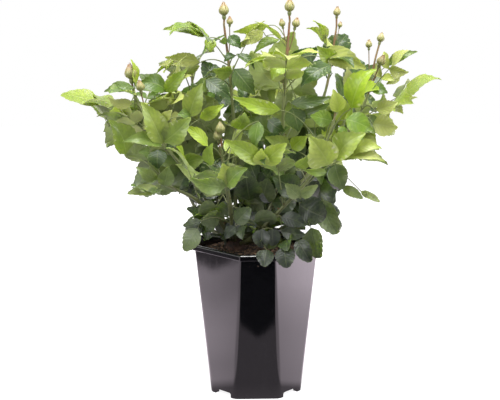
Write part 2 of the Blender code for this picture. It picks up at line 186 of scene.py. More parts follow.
class Nodes:
    # short ways to add and join the nodes of one tree

    def __init__(self, tree):
        self.tree = tree
        self.shader = tree.nodes.get("Principled BSDF")

    def feed(self, socket, value):
        # another node's output, or a plain value
        if isinstance(value, bpy.types.NodeSocket):
            self.tree.links.new(value, socket)
        else:
            socket.default_value = (*value, 1.0) if socket.type == "RGBA" else value

    def node(self, kind, inputs=None, **settings):
        node = self.tree.nodes.new(kind)
        for key, value in settings.items():
            setattr(node, key, value)
        for key, value in (inputs or {}).items():
            self.feed(node.inputs[key], value)
        return node.outputs

    def set(self, **values):
        for name, value in values.items():
            self.feed(self.shader.inputs[name.replace("_", " ")], value)

    def math(self, operation, a, b=0.0):
        return self.node("ShaderNodeMath", {0: a, 1: b}, operation=operation)[0]

    def add(self, a, b):
        return self.math("ADD", a, b)

    def sub(self, a, b):
        return self.math("SUBTRACT", a, b)

    def mul(self, a, b):
        return self.math("MULTIPLY", a, b)

    def mix(self, share, a, b, blend="MIX"):
        return self.node("ShaderNodeMix", {0: share, 6: a, 7: b}, data_type="RGBA", blend_type=blend)[2]

    def vary(self, value, amount):
        # a noise's share above or below its middle, by an amount
        return self.mul(self.sub(value, 0.5), amount)

    def ramp(self, value, stops, colors):
        node = self.tree.nodes.new("ShaderNodeValToRGB")
        while len(node.color_ramp.elements) < len(stops):
            node.color_ramp.elements.new(1.0)
        for element, stop, color in zip(node.color_ramp.elements, stops, colors):
            element.position = stop
            element.color = (*color, 1.0)
        self.feed(node.inputs[0], value)
        return node.outputs[0]

    def range(self, value, low, high, toLow=0.0, toHigh=1.0, smooth=True):
        return self.node("ShaderNodeMapRange", {0: value, 1: low, 2: high, 3: toLow, 4: toHigh},
                         interpolation_type="SMOOTHSTEP" if smooth else "LINEAR")[0]

    def noise(self, scale, detail=2.0, stretch=None):
        place = self.place
        if stretch:
            place = self.node("ShaderNodeMapping", {0: place, "Scale": stretch})[0]
        return self.node("ShaderNodeTexNoise", {"Vector": place, "Scale": scale, "Detail": detail})["Fac"]

    def tint(self):
        tint = self.node("ShaderNodeAttribute", attribute_name="tint")
        return self.node("ShaderNodeSeparateColor", {0: tint["Color"]})

    def bump(self, height, strength, distance):
        bump = self.node("ShaderNodeBump", {"Strength": strength, "Distance": distance, "Height": height})
        self.set(Normal=bump[0])


def newMaterial(name):
    material = bpy.data.materials.new(name)
    material.use_nodes = True
    p = Nodes(material.node_tree)
    p.place = p.node("ShaderNodeTexCoord")["Object"]
    p.x, p.y, p.z = p.node("ShaderNodeSeparateXYZ", {0: p.place})
    return material, p


# ---- finishes

# where a noise's values begin and end to matter, for a surface's roughness
middling = (0.3, 0.7)
leafFinish = {"old": (0.010, 0.018, 0.009), "shaded": (0.020, 0.042, 0.007), "grown": (0.090, 0.143, 0.027),
              "fresh": (0.250, 0.324, 0.046), "young": (0.330, 0.370, 0.105), "vein": (0.430, 0.470, 0.200),
              "back": (0.340, 0.390, 0.170), "stops": (0.0, 0.35, 0.68, 1.0), "roughness": 0.34,
              "backRoughness": 0.62, "gloss": 0.30, "glow": 0.25, "glowReach": (0.0035, 0.0050, 0.0012),
              "cloudScale": 42.0, "cloud": 0.30, "mottleScale": 240.0, "mottle": 0.20, "veins": 7.0,
              "veinSlant": 0.55, "sideVein": (0.0, 0.16), "midrib": (0.02, 0.075), "sideShare": 0.45,
              "veinShare": (0.14, 0.30), "backShare": (0.08, 0.42), "veinMix": 0.55,
              "hollowShade": (0.93, 0.94, 0.93), "crest": (1.04, 1.03, 1.02), "values": (0.86, 1.14),
              "hues": (0.492, 0.508), "lush": (0.90, 1.10), "shadeGrey": 0.68, "shadeHeights": (0.30, 0.43),
              "swell": 0.6, "wrinkle": 0.5, "relief": 0.22, "depth": 0.0010}


def leafMaterial(look):
    material, p = newMaterial("roseLeaf")
    ageAndShade, under, chance = p.tint()
    mottle = p.noise(look["mottleScale"], 3.0)
    cloud = p.noise(look["cloudScale"], 3.0)
    ageAndShade = p.add(ageAndShade, p.add(p.vary(cloud, look["cloud"]), p.vary(mottle, look["mottle"])))

    def byHeight(low, high):
        return p.range(p.z, *look["shadeHeights"], low, high)

    # painted shade: low leaves, deep in the plant, are darker and greyer than those in full light, their ramp
    # starting from the old colour
    later = [look[key] for key in ("grown", "fresh", "young")]
    low, high = [p.ramp(ageAndShade, look["stops"], (look[key], *later)) for key in ("old", "shaded")]
    blade = p.mix(byHeight(0.0, 1.0), low, high)
    # veins: a midrib, and side veins that leave it at a slant
    u, v, _ = p.node("ShaderNodeSeparateXYZ", {0: p.node("ShaderNodeUVMap", uv_map="along")[0]})
    across = p.math("ABSOLUTE", p.sub(p.mul(u, 2.0), 1.0))
    slant = p.sub(v, p.mul(across, 0.5 * look["veinSlant"]))
    wave = p.math("PINGPONG", p.mul(slant, look["veins"] * 2), 1.0)
    sideVein = p.mul(p.range(wave, *look["sideVein"], 1.0, 0.0), look["sideShare"])
    veins = p.math("MAXIMUM", p.range(across, *look["midrib"], 1.0, 0.0), sideVein)
    # painted shade and painted highlight: the blade is darker beside the veins, as if its hollows were
    # shaded, and lighter where it swells between them
    swell = p.mul(p.range(wave, 0.0, 0.8), p.range(across, 0.0, 0.35))
    shaded = p.mix(1.0, blade, p.mix(swell, look["hollowShade"], look["crest"]), "MULTIPLY")
    lined = p.mix(look["veinMix"], blade, look["vein"])
    # painted shade: on low leaves the light veins and the pale undersides show less
    veined = p.mix(p.mul(veins, byHeight(*look["veinShare"])), shaded, lined)
    color = p.mix(under, veined, p.mix(byHeight(*look["backShare"]), veined, look["back"]))
    vivid = p.mul(byHeight(look["shadeGrey"], 1.0), p.range(chance, 0.0, 1.0, *look["lush"], False))
    p.set(Base_Color=p.node("ShaderNodeHueSaturation",
                            {"Color": color, "Value": p.range(chance, 0.0, 1.0, *look["values"], False),
                             "Hue": p.range(chance, 0.0, 1.0, *look["hues"], False), "Saturation": vivid})[0],
          Roughness=p.range(under, 0.0, 1.0, look["roughness"], look["backRoughness"], False),
          Specular_IOR_Level=look["gloss"], Subsurface_Weight=look["glow"],
          Subsurface_Radius=look["glowReach"], Subsurface_Scale=1.0)
    p.bump(p.add(p.mul(swell, look["swell"]), p.sub(p.mul(mottle, look["wrinkle"]), veins)),
           look["relief"], look["depth"])
    return material


caneFinish = {"brown": (0.110, 0.070, 0.035), "green": (0.130, 0.170, 0.045), "red": (0.190, 0.060, 0.030),
              "stops": (0.0, 0.30, 0.62, 1.0), "cloudScale": 60.0, "cloud": 0.6, "fleck": (0.30, 0.24, 0.14),
              "fleckScale": 420.0, "fleckStretch": (1.0, 1.0, 0.18), "fleckShare": 0.5,
              "low": (0.045, 0.043, 0.016), "lowShadeHeights": (0.27, 0.40), "lowShadeShare": 0.75,
              "roughness": (0.36, 0.56), "relief": 0.3, "depth": 0.0004}


def caneMaterial(look):
    material, p = newMaterial("roseCane")
    flecks = p.noise(look["fleckScale"], 2.0, look["fleckStretch"])
    share = p.add(p.tint()[0], p.vary(p.noise(look["cloudScale"], 4.0), look["cloud"]))
    color = p.ramp(share, look["stops"], [look[key] for key in ("brown", "green", "green", "red")])
    fleck = p.mix(look["fleckShare"], color, look["fleck"])
    color = p.mix(p.mul(flecks, look["fleckShare"]), color, fleck)
    # painted shade: darker near the soil, where the crown lies in shade, and browner there as old wood is
    color = p.mix(p.range(p.z, *look["lowShadeHeights"], look["lowShadeShare"], 0.0), color, look["low"])
    p.set(Base_Color=color, Roughness=p.range(flecks, *middling, *look["roughness"]))
    p.bump(flecks, look["relief"], look["depth"])
    return material


budFinish = {"green": (0.185, 0.215, 0.055), "cream": (0.320, 0.280, 0.125), "pink": (0.330, 0.165, 0.105),
             "stops": (0.0, 0.45, 1.0), "cloudScale": 130.0, "cloud": 0.5, "roughness": (0.37, 0.57),
             "glow": 0.2, "glowReach": (0.003, 0.003, 0.001), "relief": 0.25, "depth": 0.0005}


def budMaterial(look):
    material, p = newMaterial("roseBud")
    cloud = p.noise(look["cloudScale"], 3.0)
    share = p.add(p.tint()[0], p.vary(cloud, look["cloud"]))
    p.set(Base_Color=p.ramp(share, look["stops"], [look[key] for key in ("green", "cream", "pink")]),
          Roughness=p.range(cloud, *middling, *look["roughness"]), Subsurface_Weight=look["glow"],
          Subsurface_Radius=look["glowReach"])
    p.bump(cloud, look["relief"], look["depth"])
    return material


potFinish = {"color": (0.004, 0.004, 0.005), "scuff": (0.020, 0.019, 0.020), "roughness": (0.07, 0.17),
             "ior": 1.90, "cloudScale": 9.0, "streakScale": 90.0, "streakStretch": (1.0, 1.0, 0.12),
             "grainScale": 900.0, "dustFrom": (0.45, 0.80), "dustAlong": (0.45, 0.75), "dust": 0.5,
             "grain": 0.3, "swell": 2.0, "grainRelief": 0.08, "relief": 0.10, "depth": 0.002}


def potMaterial(look):
    material, p = newMaterial("blackPlastic")
    cloud, grain = p.noise(look["cloudScale"], 4.0), p.noise(look["grainScale"], 1.0)
    streaks = p.noise(look["streakScale"], 3.0, look["streakStretch"])
    dust = p.mul(p.range(cloud, *look["dustFrom"]), p.range(streaks, *look["dustAlong"]))
    p.set(Base_Color=p.mix(p.mul(dust, look["dust"]), look["color"], look["scuff"]), IOR=look["ior"],
          Roughness=p.range(p.add(dust, p.mul(grain, look["grain"])), 0.0, 1.0, *look["roughness"]))
    height = p.add(p.mul(cloud, look["swell"]), p.mul(grain, look["grainRelief"]))
    p.bump(height, look["relief"], look["depth"])
    return material


soilFinish = {"dark": (0.006, 0.005, 0.005), "brown": (0.020, 0.014, 0.010), "bark": (0.150, 0.090, 0.050),
              "stops": (0.30, 0.60, 0.85), "lumpScale": 180.0, "fineScale": 900.0, "roughness": (0.80, 1.0),
              "relief": 0.8, "depth": 0.002}


def soilMaterial(look):
    material, p = newMaterial("pottingMix")
    lumps, fine = p.noise(look["lumpScale"], 6.0), p.noise(look["fineScale"], 3.0)
    p.set(Base_Color=p.ramp(lumps, look["stops"], [look[key] for key in ("dark", "brown", "bark")]),
          Roughness=p.range(fine, *middling, *look["roughness"]))
    p.bump(p.add(lumps, fine), look["relief"], look["depth"])
    return material


barkFinish = {"stops": (0.36, 0.50, 0.66), "patchScale": 110.0, "fibreScale": 700.0,
              "fibreStretch": (1.0, 0.25, 0.25), "fibres": 0.6, "roughness": (0.70, 0.95), "relief": 0.7,
              "depth": 0.001}


def barkMaterial(name, *colors):
    # colors run from dark through brown to pale bark
    look = barkFinish
    material, p = newMaterial(name)
    fibres = p.noise(look["fibreScale"], 4.0, look["fibreStretch"])
    color = p.ramp(p.noise(look["patchScale"], 3.0), look["stops"], colors)
    p.set(Base_Color=p.mix(p.mul(fibres, look["fibres"]), color, colors[0]),
          Roughness=p.range(fibres, *middling, *look["roughness"]))
    p.bump(fibres, look["relief"], look["depth"])
    return material


leafGreen = leafMaterial(leafFinish)
caneSkin = caneMaterial(caneFinish)
budSkin = budMaterial(budFinish)
blackPlastic = potMaterial(potFinish)
pottingMix = soilMaterial(soilFinish)
barkChips = barkMaterial("barkChips", (0.020, 0.011, 0.007), (0.120, 0.068, 0.038), (0.300, 0.190, 0.110))
oldBark = barkMaterial("oldBark", (0.025, 0.014, 0.010), (0.075, 0.040, 0.026), (0.160, 0.085, 0.050))
prickleSkin = barkMaterial("prickle", (0.060, 0.030, 0.016), (0.160, 0.080, 0.040), (0.260, 0.150, 0.080))
print("finishes made:", len(bpy.data.materials))

# ---- the shoots, at the same places as in the CAD model. A path runs through points in millimetres. A leaf's
# row says how far along the cane it leaves, its tip in millimetres, its turn and rise, its count of leaflets,
# its tone, partly its age and partly painted shade (0 old and darkest, with painted shade, 1 young and pale)
# and its shape's number. A bud's row says its tip, also in millimetres, its width in metres and how far along
# the cane it leaves, 1 being the end

union = {"center": (-0.032, 0.002, 0.240), "radius": 0.018, "stubEnd": (0.024, 0.030, 0.274),
         "stubRadius": 0.0105, "shankRadius": 0.008, "shankDepth": 0.100, "knots": 0.0035, "rings": 22,
         "sides": 28}
clearance = 0.0004

shoots = {
    "low_left": {
        "start": ("union",),
        "path": ((-67, -30, 300), (-100, -44, 330), (-130, -51, 347), (-158, -54, 360)),
        "radius": (0.0040, 0.0022),
        "leaves": ((0.58, (-127, -125, 428), -35, 0.06, 5, 0.5, 6),
                   (0.95, (-218, -5, 455), 47, 0.20, 3, 0.6, 4),
                   (0.97, (-197, -111, 365), 1, -0.15, 5, 0.2, 5),
                   (0.30, (-113, -72, 269), -65, 0.20, 5, 0.1, 4)),
    },
    "far_left": {
        "start": ("low_left", 0.42),
        "path": ((-118, -40, 380), (-152, -52, 425), (-180, -60, 470), (-196, -60, 514)),
        "radius": (0.0028, 0.0018),
        "buds": (((-200, -60, 549), 0.018, 1.0), ((-184, -68, 524), 0.013, 0.8)),
        "leaves": ((0.68, (-311, -30, 496), 5, 0.06, 5, 0.6, 3),
                   (0.88, (-225, -146, 513), -23, 0.26, 1, 0.2, 1),
                   (0.86, (-126, -37, 490), 14, 0.00, 1, 0.8, 7)),
    },
    "back_left": {
        "start": ("union",),
        "path": ((-58, 38, 290), (-78, 56, 370), (-97, 66, 440), (-104, 66, 520)),
        "radius": (0.0036, 0.0018),
        "leaves": ((0.86, (-147, -23, 530), 31, 0.30, 5, 0.8, 4),
                   (0.55, (-137, 106, 493), -58, -0.15, 5, 0.7, 8),
                   (0.97, (-65, 193, 545), -48, 0.15, 3, 0.0, 7)),
    },
    "center": {
        "start": ("union",),
        "path": ((-33, 10, 300), (-32, 26, 380), (-35, 30, 447), (-42, 30, 530), (-50, 30, 600)),
        "radius": (0.0036, 0.0018),
        "buds": (((-51, 30, 639), 0.016, 1.0), ((-41, 12, 617), 0.01, 0.86)),
        "leaves": ((0.84, (-137, -32, 590), -17, 0.23, 3, 0.4, 2),
                   (0.78, (16, 22, 609), -5, 0.11, 3, 1.0, 4)),
    },
    "tall": {
        "start": ("union",),
        "path": ((8, -18, 284), (26, -14, 320), (42, -4, 400), (46, 0, 488), (54, 0, 608)),
        "radius": (0.0046, 0.0018),
        "buds": (((54, 0, 646), 0.0155, 1.0), ((41, -2, 614), 0.0095, 0.9), ((67, 2, 616), 0.012, 0.88)),
        "leaves": ((0.86, (-20, -63, 541), 19, 0.03, 3, 0.6, 9), (0.76, (189, 3, 518), 16, 0.22, 5, 0.0, 5)),
    },
    "back_right": {
        "start": ("tall", 0.3),
        "path": ((60, 28, 370), (92, 52, 430), (120, 68, 490), (137, 78, 588)),
        "radius": (0.0030, 0.0017),
        "buds": (((139, 80, 629), 0.0115, 1.0),),
        "leaves": ((0.84, (93, 18, 609), -32, 0.05, 3, 1.0, 8),
                   (0.62, (221, 144, 523), 50, -0.15, 5, 0.1, 0)),
    },
    "right": {
        "start": ("tall", 0.2),
        "path": ((62, -6, 335), (110, 8, 385), (155, 20, 432), (183, 28, 478), (194, 30, 528)),
        "radius": (0.0032, 0.0018),
        "buds": (((209, 40, 589), 0.012, 1.0), ((186, 30, 578), 0.01, 0.93), ((206, -4, 556), 0.014, 0.86)),
        "leaves": ((0.68, (302, 0, 515), 7, 0.05, 5, 0.6, 5), (0.88, (249, 8, 562), 61, 0.05, 5, 1.0, 4),
                   (0.50, (188, -93, 510), 49, 0.20, 3, 0.5, 0),
                   (0.30, (138, -65, 355), 54, 0.30, 5, 0.0, 5)),
    },
    "front_right": {
        "start": ("union",),
        "path": ((-4, -46, 268), (45, -70, 325), (90, -90, 385), (118, -100, 465)),
        "radius": (0.0036, 0.0018),
        "buds": (((124, -100, 503), 0.016, 1.0),),
        "leaves": ((0.42, (6, -194, 412), 0, 0.30, 5, 0.0, 1),
                   (0.60, (202, -107, 394), -22, 0.21, 3, 0.0, 4),
                   (0.78, (146, -185, 447), -8, -0.09, 5, 0.5, 5),
                   (0.12, (6, -100, 268), -43, 0.16, 3, 0.0, 4)),
    },
    "front": {
        "start": ("union",),
        "path": ((-40, -35, 275), (-42, -65, 320), (-50, -88, 370), (-58, -100, 424)),
        "radius": (0.0032, 0.0017),
        "buds": (((-59, -100, 463), 0.014, 1.0),),
        "leaves": ((0.30, (-70, -190, 402), 17, 0.18, 5, 0.0, 8),),
    },
    "low_right": {
        "start": ("union",),
        "path": ((30, -28, 262), (68, -34, 278), (100, -32, 295), (126, -26, 312)),
        "radius": (0.0026, 0.0016),
        "leaves": ((0.50, (46, -112, 259), 66, 0.12, 5, 0.0, 3), (0.80, (138, 0, 264), 71, 0.23, 5, 0.0, 3)),
    },
    "rear": {
        "start": ("union",),
        "path": ((-20, 55, 290), (0, 90, 360), (16, 118, 430), (12, 132, 505)),
        "radius": (0.0036, 0.0018),
        "leaves": ((0.85, (45, 196, 544), 24, -0.15, 5, 0.9, 4),
                   (0.62, (-8, 176, 491), -31, -0.15, 5, 0.3, 8),
                   (0.30, (63, 118, 249), -75, 0.18, 5, 0.0, 1)),
    },
    "rear_left": {
        "start": ("union",),
        "path": ((-86, 40, 272), (-120, 85, 330), (-146, 106, 380), (-158, 114, 430)),
        "radius": (0.0032, 0.0017),
        "leaves": ((0.85, (-272, 63, 467), 75, 0.01, 5, 0.0, 1),
                   (0.45, (-208, 126, 315), -69, 0.30, 5, 0.3, 3)),
    },
}

# leaves that the CAD model leaves out, in rows of the same kind under their numbers
moreLeaves = {
    "center": {
        2: (0.80, (-104, 54, 459), 28, 0.09, 7, 0.2, 2), 3: (0.12, (56, -4, 440), 38, 0.00, 7, 0.0, 4),
        4: (0.58, (-69, 47, 308), 50, 0.10, 7, 0.3, 1), 5: (0.52, (-172, 48, 348), 71, 0.24, 7, 0.5, 2),
        7: (0.08, (-102, 58, 403), -62, -0.07, 7, 0.0, 2), 9: (0.41, (-166, -4, 488), 64, 0.06, 7, 0.3, 1)},
    "far_left": {
        1: (0.98, (-197, -62, 556), -5, -0.10, 1, 0.7, 2), 2: (0.93, (-200, 55, 385), 12, 0.00, 7, 0.0, 3),
        3: (0.54, (-108, -27, 558), -9, 0.11, 7, 1.0, 7), 4: (0.57, (-226, -60, 488), 47, -0.02, 7, 1.0, 4),
        5: (0.82, (-150, 51, 503), 18, 0.15, 7, 0.2, 4), 8: (0.71, (-286, 24, 477), 47, -0.14, 7, 0.3, 2)},
    "back_left": {
        1: (0.34, (-161, 75, 471), -63, -0.15, 7, 0.3, 0), 2: (0.14, (-9, 39, 238), -50, 0.14, 5, 0.0, 2),
        4: (0.62, (-199, -39, 433), 29, 0.30, 7, 0.8, 1), 5: (0.98, (-161, 117, 532), 62, 0.17, 1, 0.0, 1)},
    "tall": {
        1: (0.77, (98, 36, 382), -44, 0.05, 7, 0.4, 7), 3: (0.90, (-2, -10, 610), 0, 0.10, 1, 1.0, 8),
        4: (0.69, (43, -151, 562), 3, 0.16, 7, 1.0, 7)},
    "back_right": {
        1: (0.71, (159, 112, 580), 8, 0.30, 1, 0.0, 5), 4: (0.19, (222, 31, 420), 55, 0.21, 7, 0.3, 7),
        8: (0.39, (139, 20, 327), 9, 0.05, 5, 0.0, 4), 9: (0.05, (155, 73, 337), 49, 0.30, 7, 0.0, 5)},
    "right": {
        1: (0.56, (-12, 60, 445), -60, -0.15, 7, 0.2, 0), 2: (0.35, (239, 77, 414), 71, 0.30, 7, 0.6, 1),
        3: (0.28, (216, 60, 440), 55, 0.09, 7, 0.8, 0), 4: (0.80, (268, 26, 483), 12, -0.15, 5, 1.0, 7)},
    "front_right": {
        1: (0.22, (-54, 26, 297), 60, -0.11, 5, 0.0, 4), 3: (0.30, (-25, 55, 312), 68, -0.11, 5, 0.3, 0),
        4: (0.27, (-51, -42, 272), -33, 0.12, 5, 0.0, 8), 5: (0.19, (109, 69, 330), 60, 0.30, 7, 0.0, 5),
        6: (0.11, (-85, 4, 249), 13, 0.01, 5, 0.0, 3)},
    "low_right": {
        2: (0.19, (111, 77, 307), 58, 0.18, 5, 0.0, 8)},
    "rear_left": {
        1: (0.74, (-198, 146, 305), 59, 0.30, 5, 0.0, 0)},
    "low_left": {
        1: (0.10, (-96, 53, 376), -18, 0.11, 7, 0.0, 2), 2: (0.35, (-59, 41, 249), 55, -0.07, 5, 0.0, 3)},
    "front": {
        1: (0.45, (81, -22, 272), -38, -0.14, 5, 0.2, 9), 2: (0.62, (-104, -8, 272), 13, -0.09, 5, 0.2, 3),
        3: (0.42, (-114, 35, 327), -32, 0.30, 7, 0.0, 3)},
    "rear": {
        2: (0.74, (69, 98, 587), -70, -0.14, 7, 0.5, 6), 3: (0.05, (17, 58, 373), 72, -0.05, 7, 0.0, 2),
        5: (0.77, (-134, 113, 453), -52, 0.27, 7, 0.0, 0), 6: (0.46, (131, 55, 291), 49, 0.17, 5, 0.1, 3)},
}

# ---- canes: the same middle lines as in the CAD model, drawn finer

caneForm = {"steps": 7, "sides": 10, "swell": 1.22, "swellLength": 0.006, "wobble": 0.05, "wobbleScale": 90,
            "sink": 0.003, "redHeights": (0.42, 0.62), "woodyHeights": (0.235, 0.270),
            "tint": (0.46, 0.50, 0.40)}


class Cane:
    # a shoot's middle line on the CAD model's points, its radius, and where its leaves and buds leave it

    def __init__(self, name, spec, canes):
        path = [Vector(metres(point)) for point in spec["path"]]
        if spec["start"][0] == "union":
            center = Vector(union["center"])
            foot = center + (path[0] - center).normalized() * (union["radius"] + clearance)
        else:
            foot = canes[spec["start"][0]].sideStart(spec["start"][1], path[0], spec["radius"][0])
        self.name, self.ends = name, spec["radius"]
        self.points = [foot, *path]
        self.line, self.along, self.length = self.measure(2)
        self.forks = [leaf[0] for leaf in (*spec.get("leaves", ()), *moreLeaves.get(name, {}).values())]

    def measure(self, steps):
        line = smoothLine(self.points, steps)
        lengths = [(b - a).length for a, b in zip(line, line[1:])]
        total = sum(lengths)
        return line, [sum(lengths[:k]) / total for k in range(len(line))], total

    def radius(self, t):
        return self.ends[0] + (self.ends[1] - self.ends[0]) * t

    def place(self, t):
        k = max(i for i in range(len(self.line) - 1) if self.along[i] <= t)
        a, b = self.line[k], self.line[k + 1]
        share = (t - self.along[k]) / (self.along[k + 1] - self.along[k])
        return a.lerp(b, share), (b - a).normalized()

    def sideStart(self, t, towards, radius):
        foot, axis = self.place(t)
        way = (towards - foot).normalized()
        beside = (way - axis * way.dot(axis)).normalized()
        return foot + beside * (self.radius(t) + 2 * clearance + radius * abs(way.dot(axis)))

    def reach(self, t, towards, radius, sink=0.6):
        # where a stalk meets the cane's own bark: its side start, moved in until it touches
        foot, axis = self.place(t)
        start = self.sideStart(t, towards, radius)
        return start.lerp(foot, sink * self.radius(t) / max((start - foot).length, 1e-6))


def buildCane(cane):
    form = caneForm
    line, along, _ = cane.measure(form["steps"])
    # the foot sinks into what it grows from
    line[0] = line[0] + (Vector(union["center"]) - line[0]).normalized() * form["sink"]
    radii, tints = [], []
    for place, t in zip(line, along):
        radius = cane.radius(t)
        for fork in cane.forks:
            near = abs(t - fork) * cane.length / form["swellLength"]
            radius *= 1 + (form["swell"] - 1) * max(0.0, 1 - near * near)
        radius *= 1 + form["wobble"] * noise.noise(place * form["wobbleScale"])
        radii.append(radius)
        green, red, woody = form["tint"]
        red *= smoothStep(*form["redHeights"], place.z)
        woody *= 1 - smoothStep(*form["woodyHeights"], place.z)
        tints.append((green + red - woody, 0.0, 0.5))
    shape = Shape()
    addTube(shape, line, radii, form["sides"], 0, tints)
    piece = shape.make("rose_cane_" + cane.name, [caneSkin], 60)
    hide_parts("cane_" + cane.name)
    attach(piece, "root")
    return piece


canes = {}
for name, spec in shoots.items():
    canes[name] = Cane(name, spec, canes)
canePieces = [buildCane(cane) for cane in canes.values()]
print("canes:", len(canePieces))

# ---- leaves: a leaf stalk, side leaflets in pairs and one at the end, each a thin closed blade

leafForm = {"rows": 14, "columns": (-1.0, -0.56, 0.0, 0.56, 1.0), "thickness": 0.00045, "neck": 0.0007,
            "endShares": {1: 0.14, 3: 0.46, 5: 0.56, 7: 0.60},
            "pairs": {1: (), 3: ((0.38, 0.86),), 5: ((0.48, 0.90), (0.28, 0.74)),
                      7: ((0.52, 0.92), (0.36, 0.82), (0.20, 0.62))},
            "spread": 62, "spreadVary": 12, "droop": 0.12, "droopVary": 0.18, "endWidth": 0.31,
            "pairWidth": 0.30, "pairLength": (0.92, 1.05), "slim": (0.88, 1.12), "fold": (0.05, 0.42),
            "arch": (0.05, 0.20), "roll": 30, "twist": 0.5, "sway": 0.06, "wave": 0.024,
            "waveVary": (0.4, 1.6), "waves": 1.6, "waveShift": 1.9, "tooth": 0.020,
            "stalk": (0.0011, 0.0006), "stalkSteps": 9, "stalkTint": (0.42, 0.0, 0.5), "footRadius": 0.0012,
            "stipule": 0.014, "stipuleWidth": 0.10, "stipuleSpread": 0.45, "toneVary": 0.22,
            "tones": (0.02, 0.95, 0.10), "toneHeights": (0.27, 0.60),
            "bluntWidth": 0.30, "bluntHeights": (0.30, 0.42)}


class LeafLine:
    # the line of a leaf from its foot to its tip, as in the CAD model

    def __init__(self, foot, tip, rise, turn):
        self.foot, self.tip, self.turn = foot, tip, math.radians(turn)
        self.knee = (foot + tip) / 2 + Vector((0, 0, 2 * rise * (tip - foot).length))

    def point(self, u):
        return self.foot.lerp(self.knee, u).lerp(self.knee.lerp(self.tip, u), u)

    def frame(self, u):
        ahead = (self.knee.lerp(self.tip, u) - self.foot.lerp(self.knee, u)).normalized()
        up = Vector((0, 0, 1)) - ahead * ahead.z
        up = (Matrix.Rotation(self.turn, 3, ahead) @ up).normalized()
        return ahead, ahead.cross(up), up


def bladeOutline(s, blunt):
    # half width along a blade over its widest: a round base, and a long taper to the tip unless it is blunt
    bell = max(math.sin(math.pi * s ** (0.74 + 0.10 * blunt)), 0.0) ** (0.80 - 0.18 * blunt)
    return bell * (1 - 0.34 * (1 - blunt) * smoothStep(0.55, 1.0, s))


def bluntness(tip):
    # low blades are round, high ones pointed
    return round(1 - smoothStep(*leafForm["bluntHeights"], tip.z), 3)


def addBlade(shape, base, ahead, up, length, width, tone, rng, blunt=0.0, lush=None):
    form = leafForm
    rows, columns = form["rows"], form["columns"]
    fold = rng.uniform(*form["fold"])
    arch = rng.uniform(*form["arch"])
    drift = rng.uniform(-form["sway"], form["sway"])
    roll = math.radians(rng.uniform(-1, 1) * form["roll"])
    twist = rng.uniform(-form["twist"], form["twist"])
    wave, phase = form["wave"] * rng.uniform(*form["waveVary"]), rng.uniform(0, 1)
    chance = rng.random()
    if lush is not None:
        chance = lush
    grid = np.zeros((rows + 1, len(columns), 3))
    side = ahead.cross(up).normalized()
    base, ahead, side, up = (np.array(v) for v in (base, ahead, side, side.cross(ahead)))
    for i in range(rows + 1):
        s = i / rows
        bell = 4 * s * (1 - s)
        tooth = (1 if i % 2 else -1) * form["tooth"] * min(1.0, 3 * s, 4 * (1 - s))
        turn = roll + twist * (s - 0.4)
        across = side * math.cos(turn) + up * math.sin(turn)
        over = up * math.cos(turn) - side * math.sin(turn)
        reach = max(length * width * bladeOutline(s, blunt), form["neck"] * (1 - 0.7 * s))
        for j, a in enumerate(columns):
            edge = abs(a) == 1
            out = a * reach * (1 + (tooth if edge else 0))
            forward = s + (0.5 / rows if edge and i % 2 and s < 0.96 else 0)
            lift = arch * bell * (0.6 + 0.8 * s) * length + fold * abs(a) ** 1.3 * reach
            sway = math.sin(2 * math.pi * (form["waves"] * s + phase) + (a > 0) * form["waveShift"])
            lift += wave * length * sway * a * a * bell
            aside = out + drift * length * bell
            grid[i, j] = base + ahead * length * forward + across * aside + over * lift
    normal = np.cross(np.gradient(grid, axis=1), np.gradient(grid, axis=0))
    normal /= np.maximum(np.linalg.norm(normal, axis=2, keepdims=True), 1e-9)
    thick = form["thickness"] * (0.35 + 0.65 * (1 - np.abs(np.array(columns)) ** 2))
    under = grid - normal * thick[None, :, None]
    uvs = [((a + 1) / 2, i / rows) for i in range(rows + 1) for a in columns]
    tone = min(max(tone + (chance - 0.5) * form["toneVary"], 0.0), 1.0)
    shape.add([*grid.reshape(-1, 3), *under.reshape(-1, 3)], sheetFaces(rows, len(columns)), 0, uvs * 2,
              [(tone, back, chance) for back in (0.0, 1.0) for _ in uvs])


def addStalk(shape, touch, line, share, steps):
    # from the bark along a share of the leaf's line, tapering
    root, end = leafForm["stalk"]
    stalk = [touch] + [line.point(share * k / steps) for k in range(steps + 1)]
    radii = [root * 1.5] + [root + (end - root) * k / steps for k in range(steps + 1)]
    addTube(shape, stalk, radii, 6, 1, [leafForm["stalkTint"]] * len(stalk))


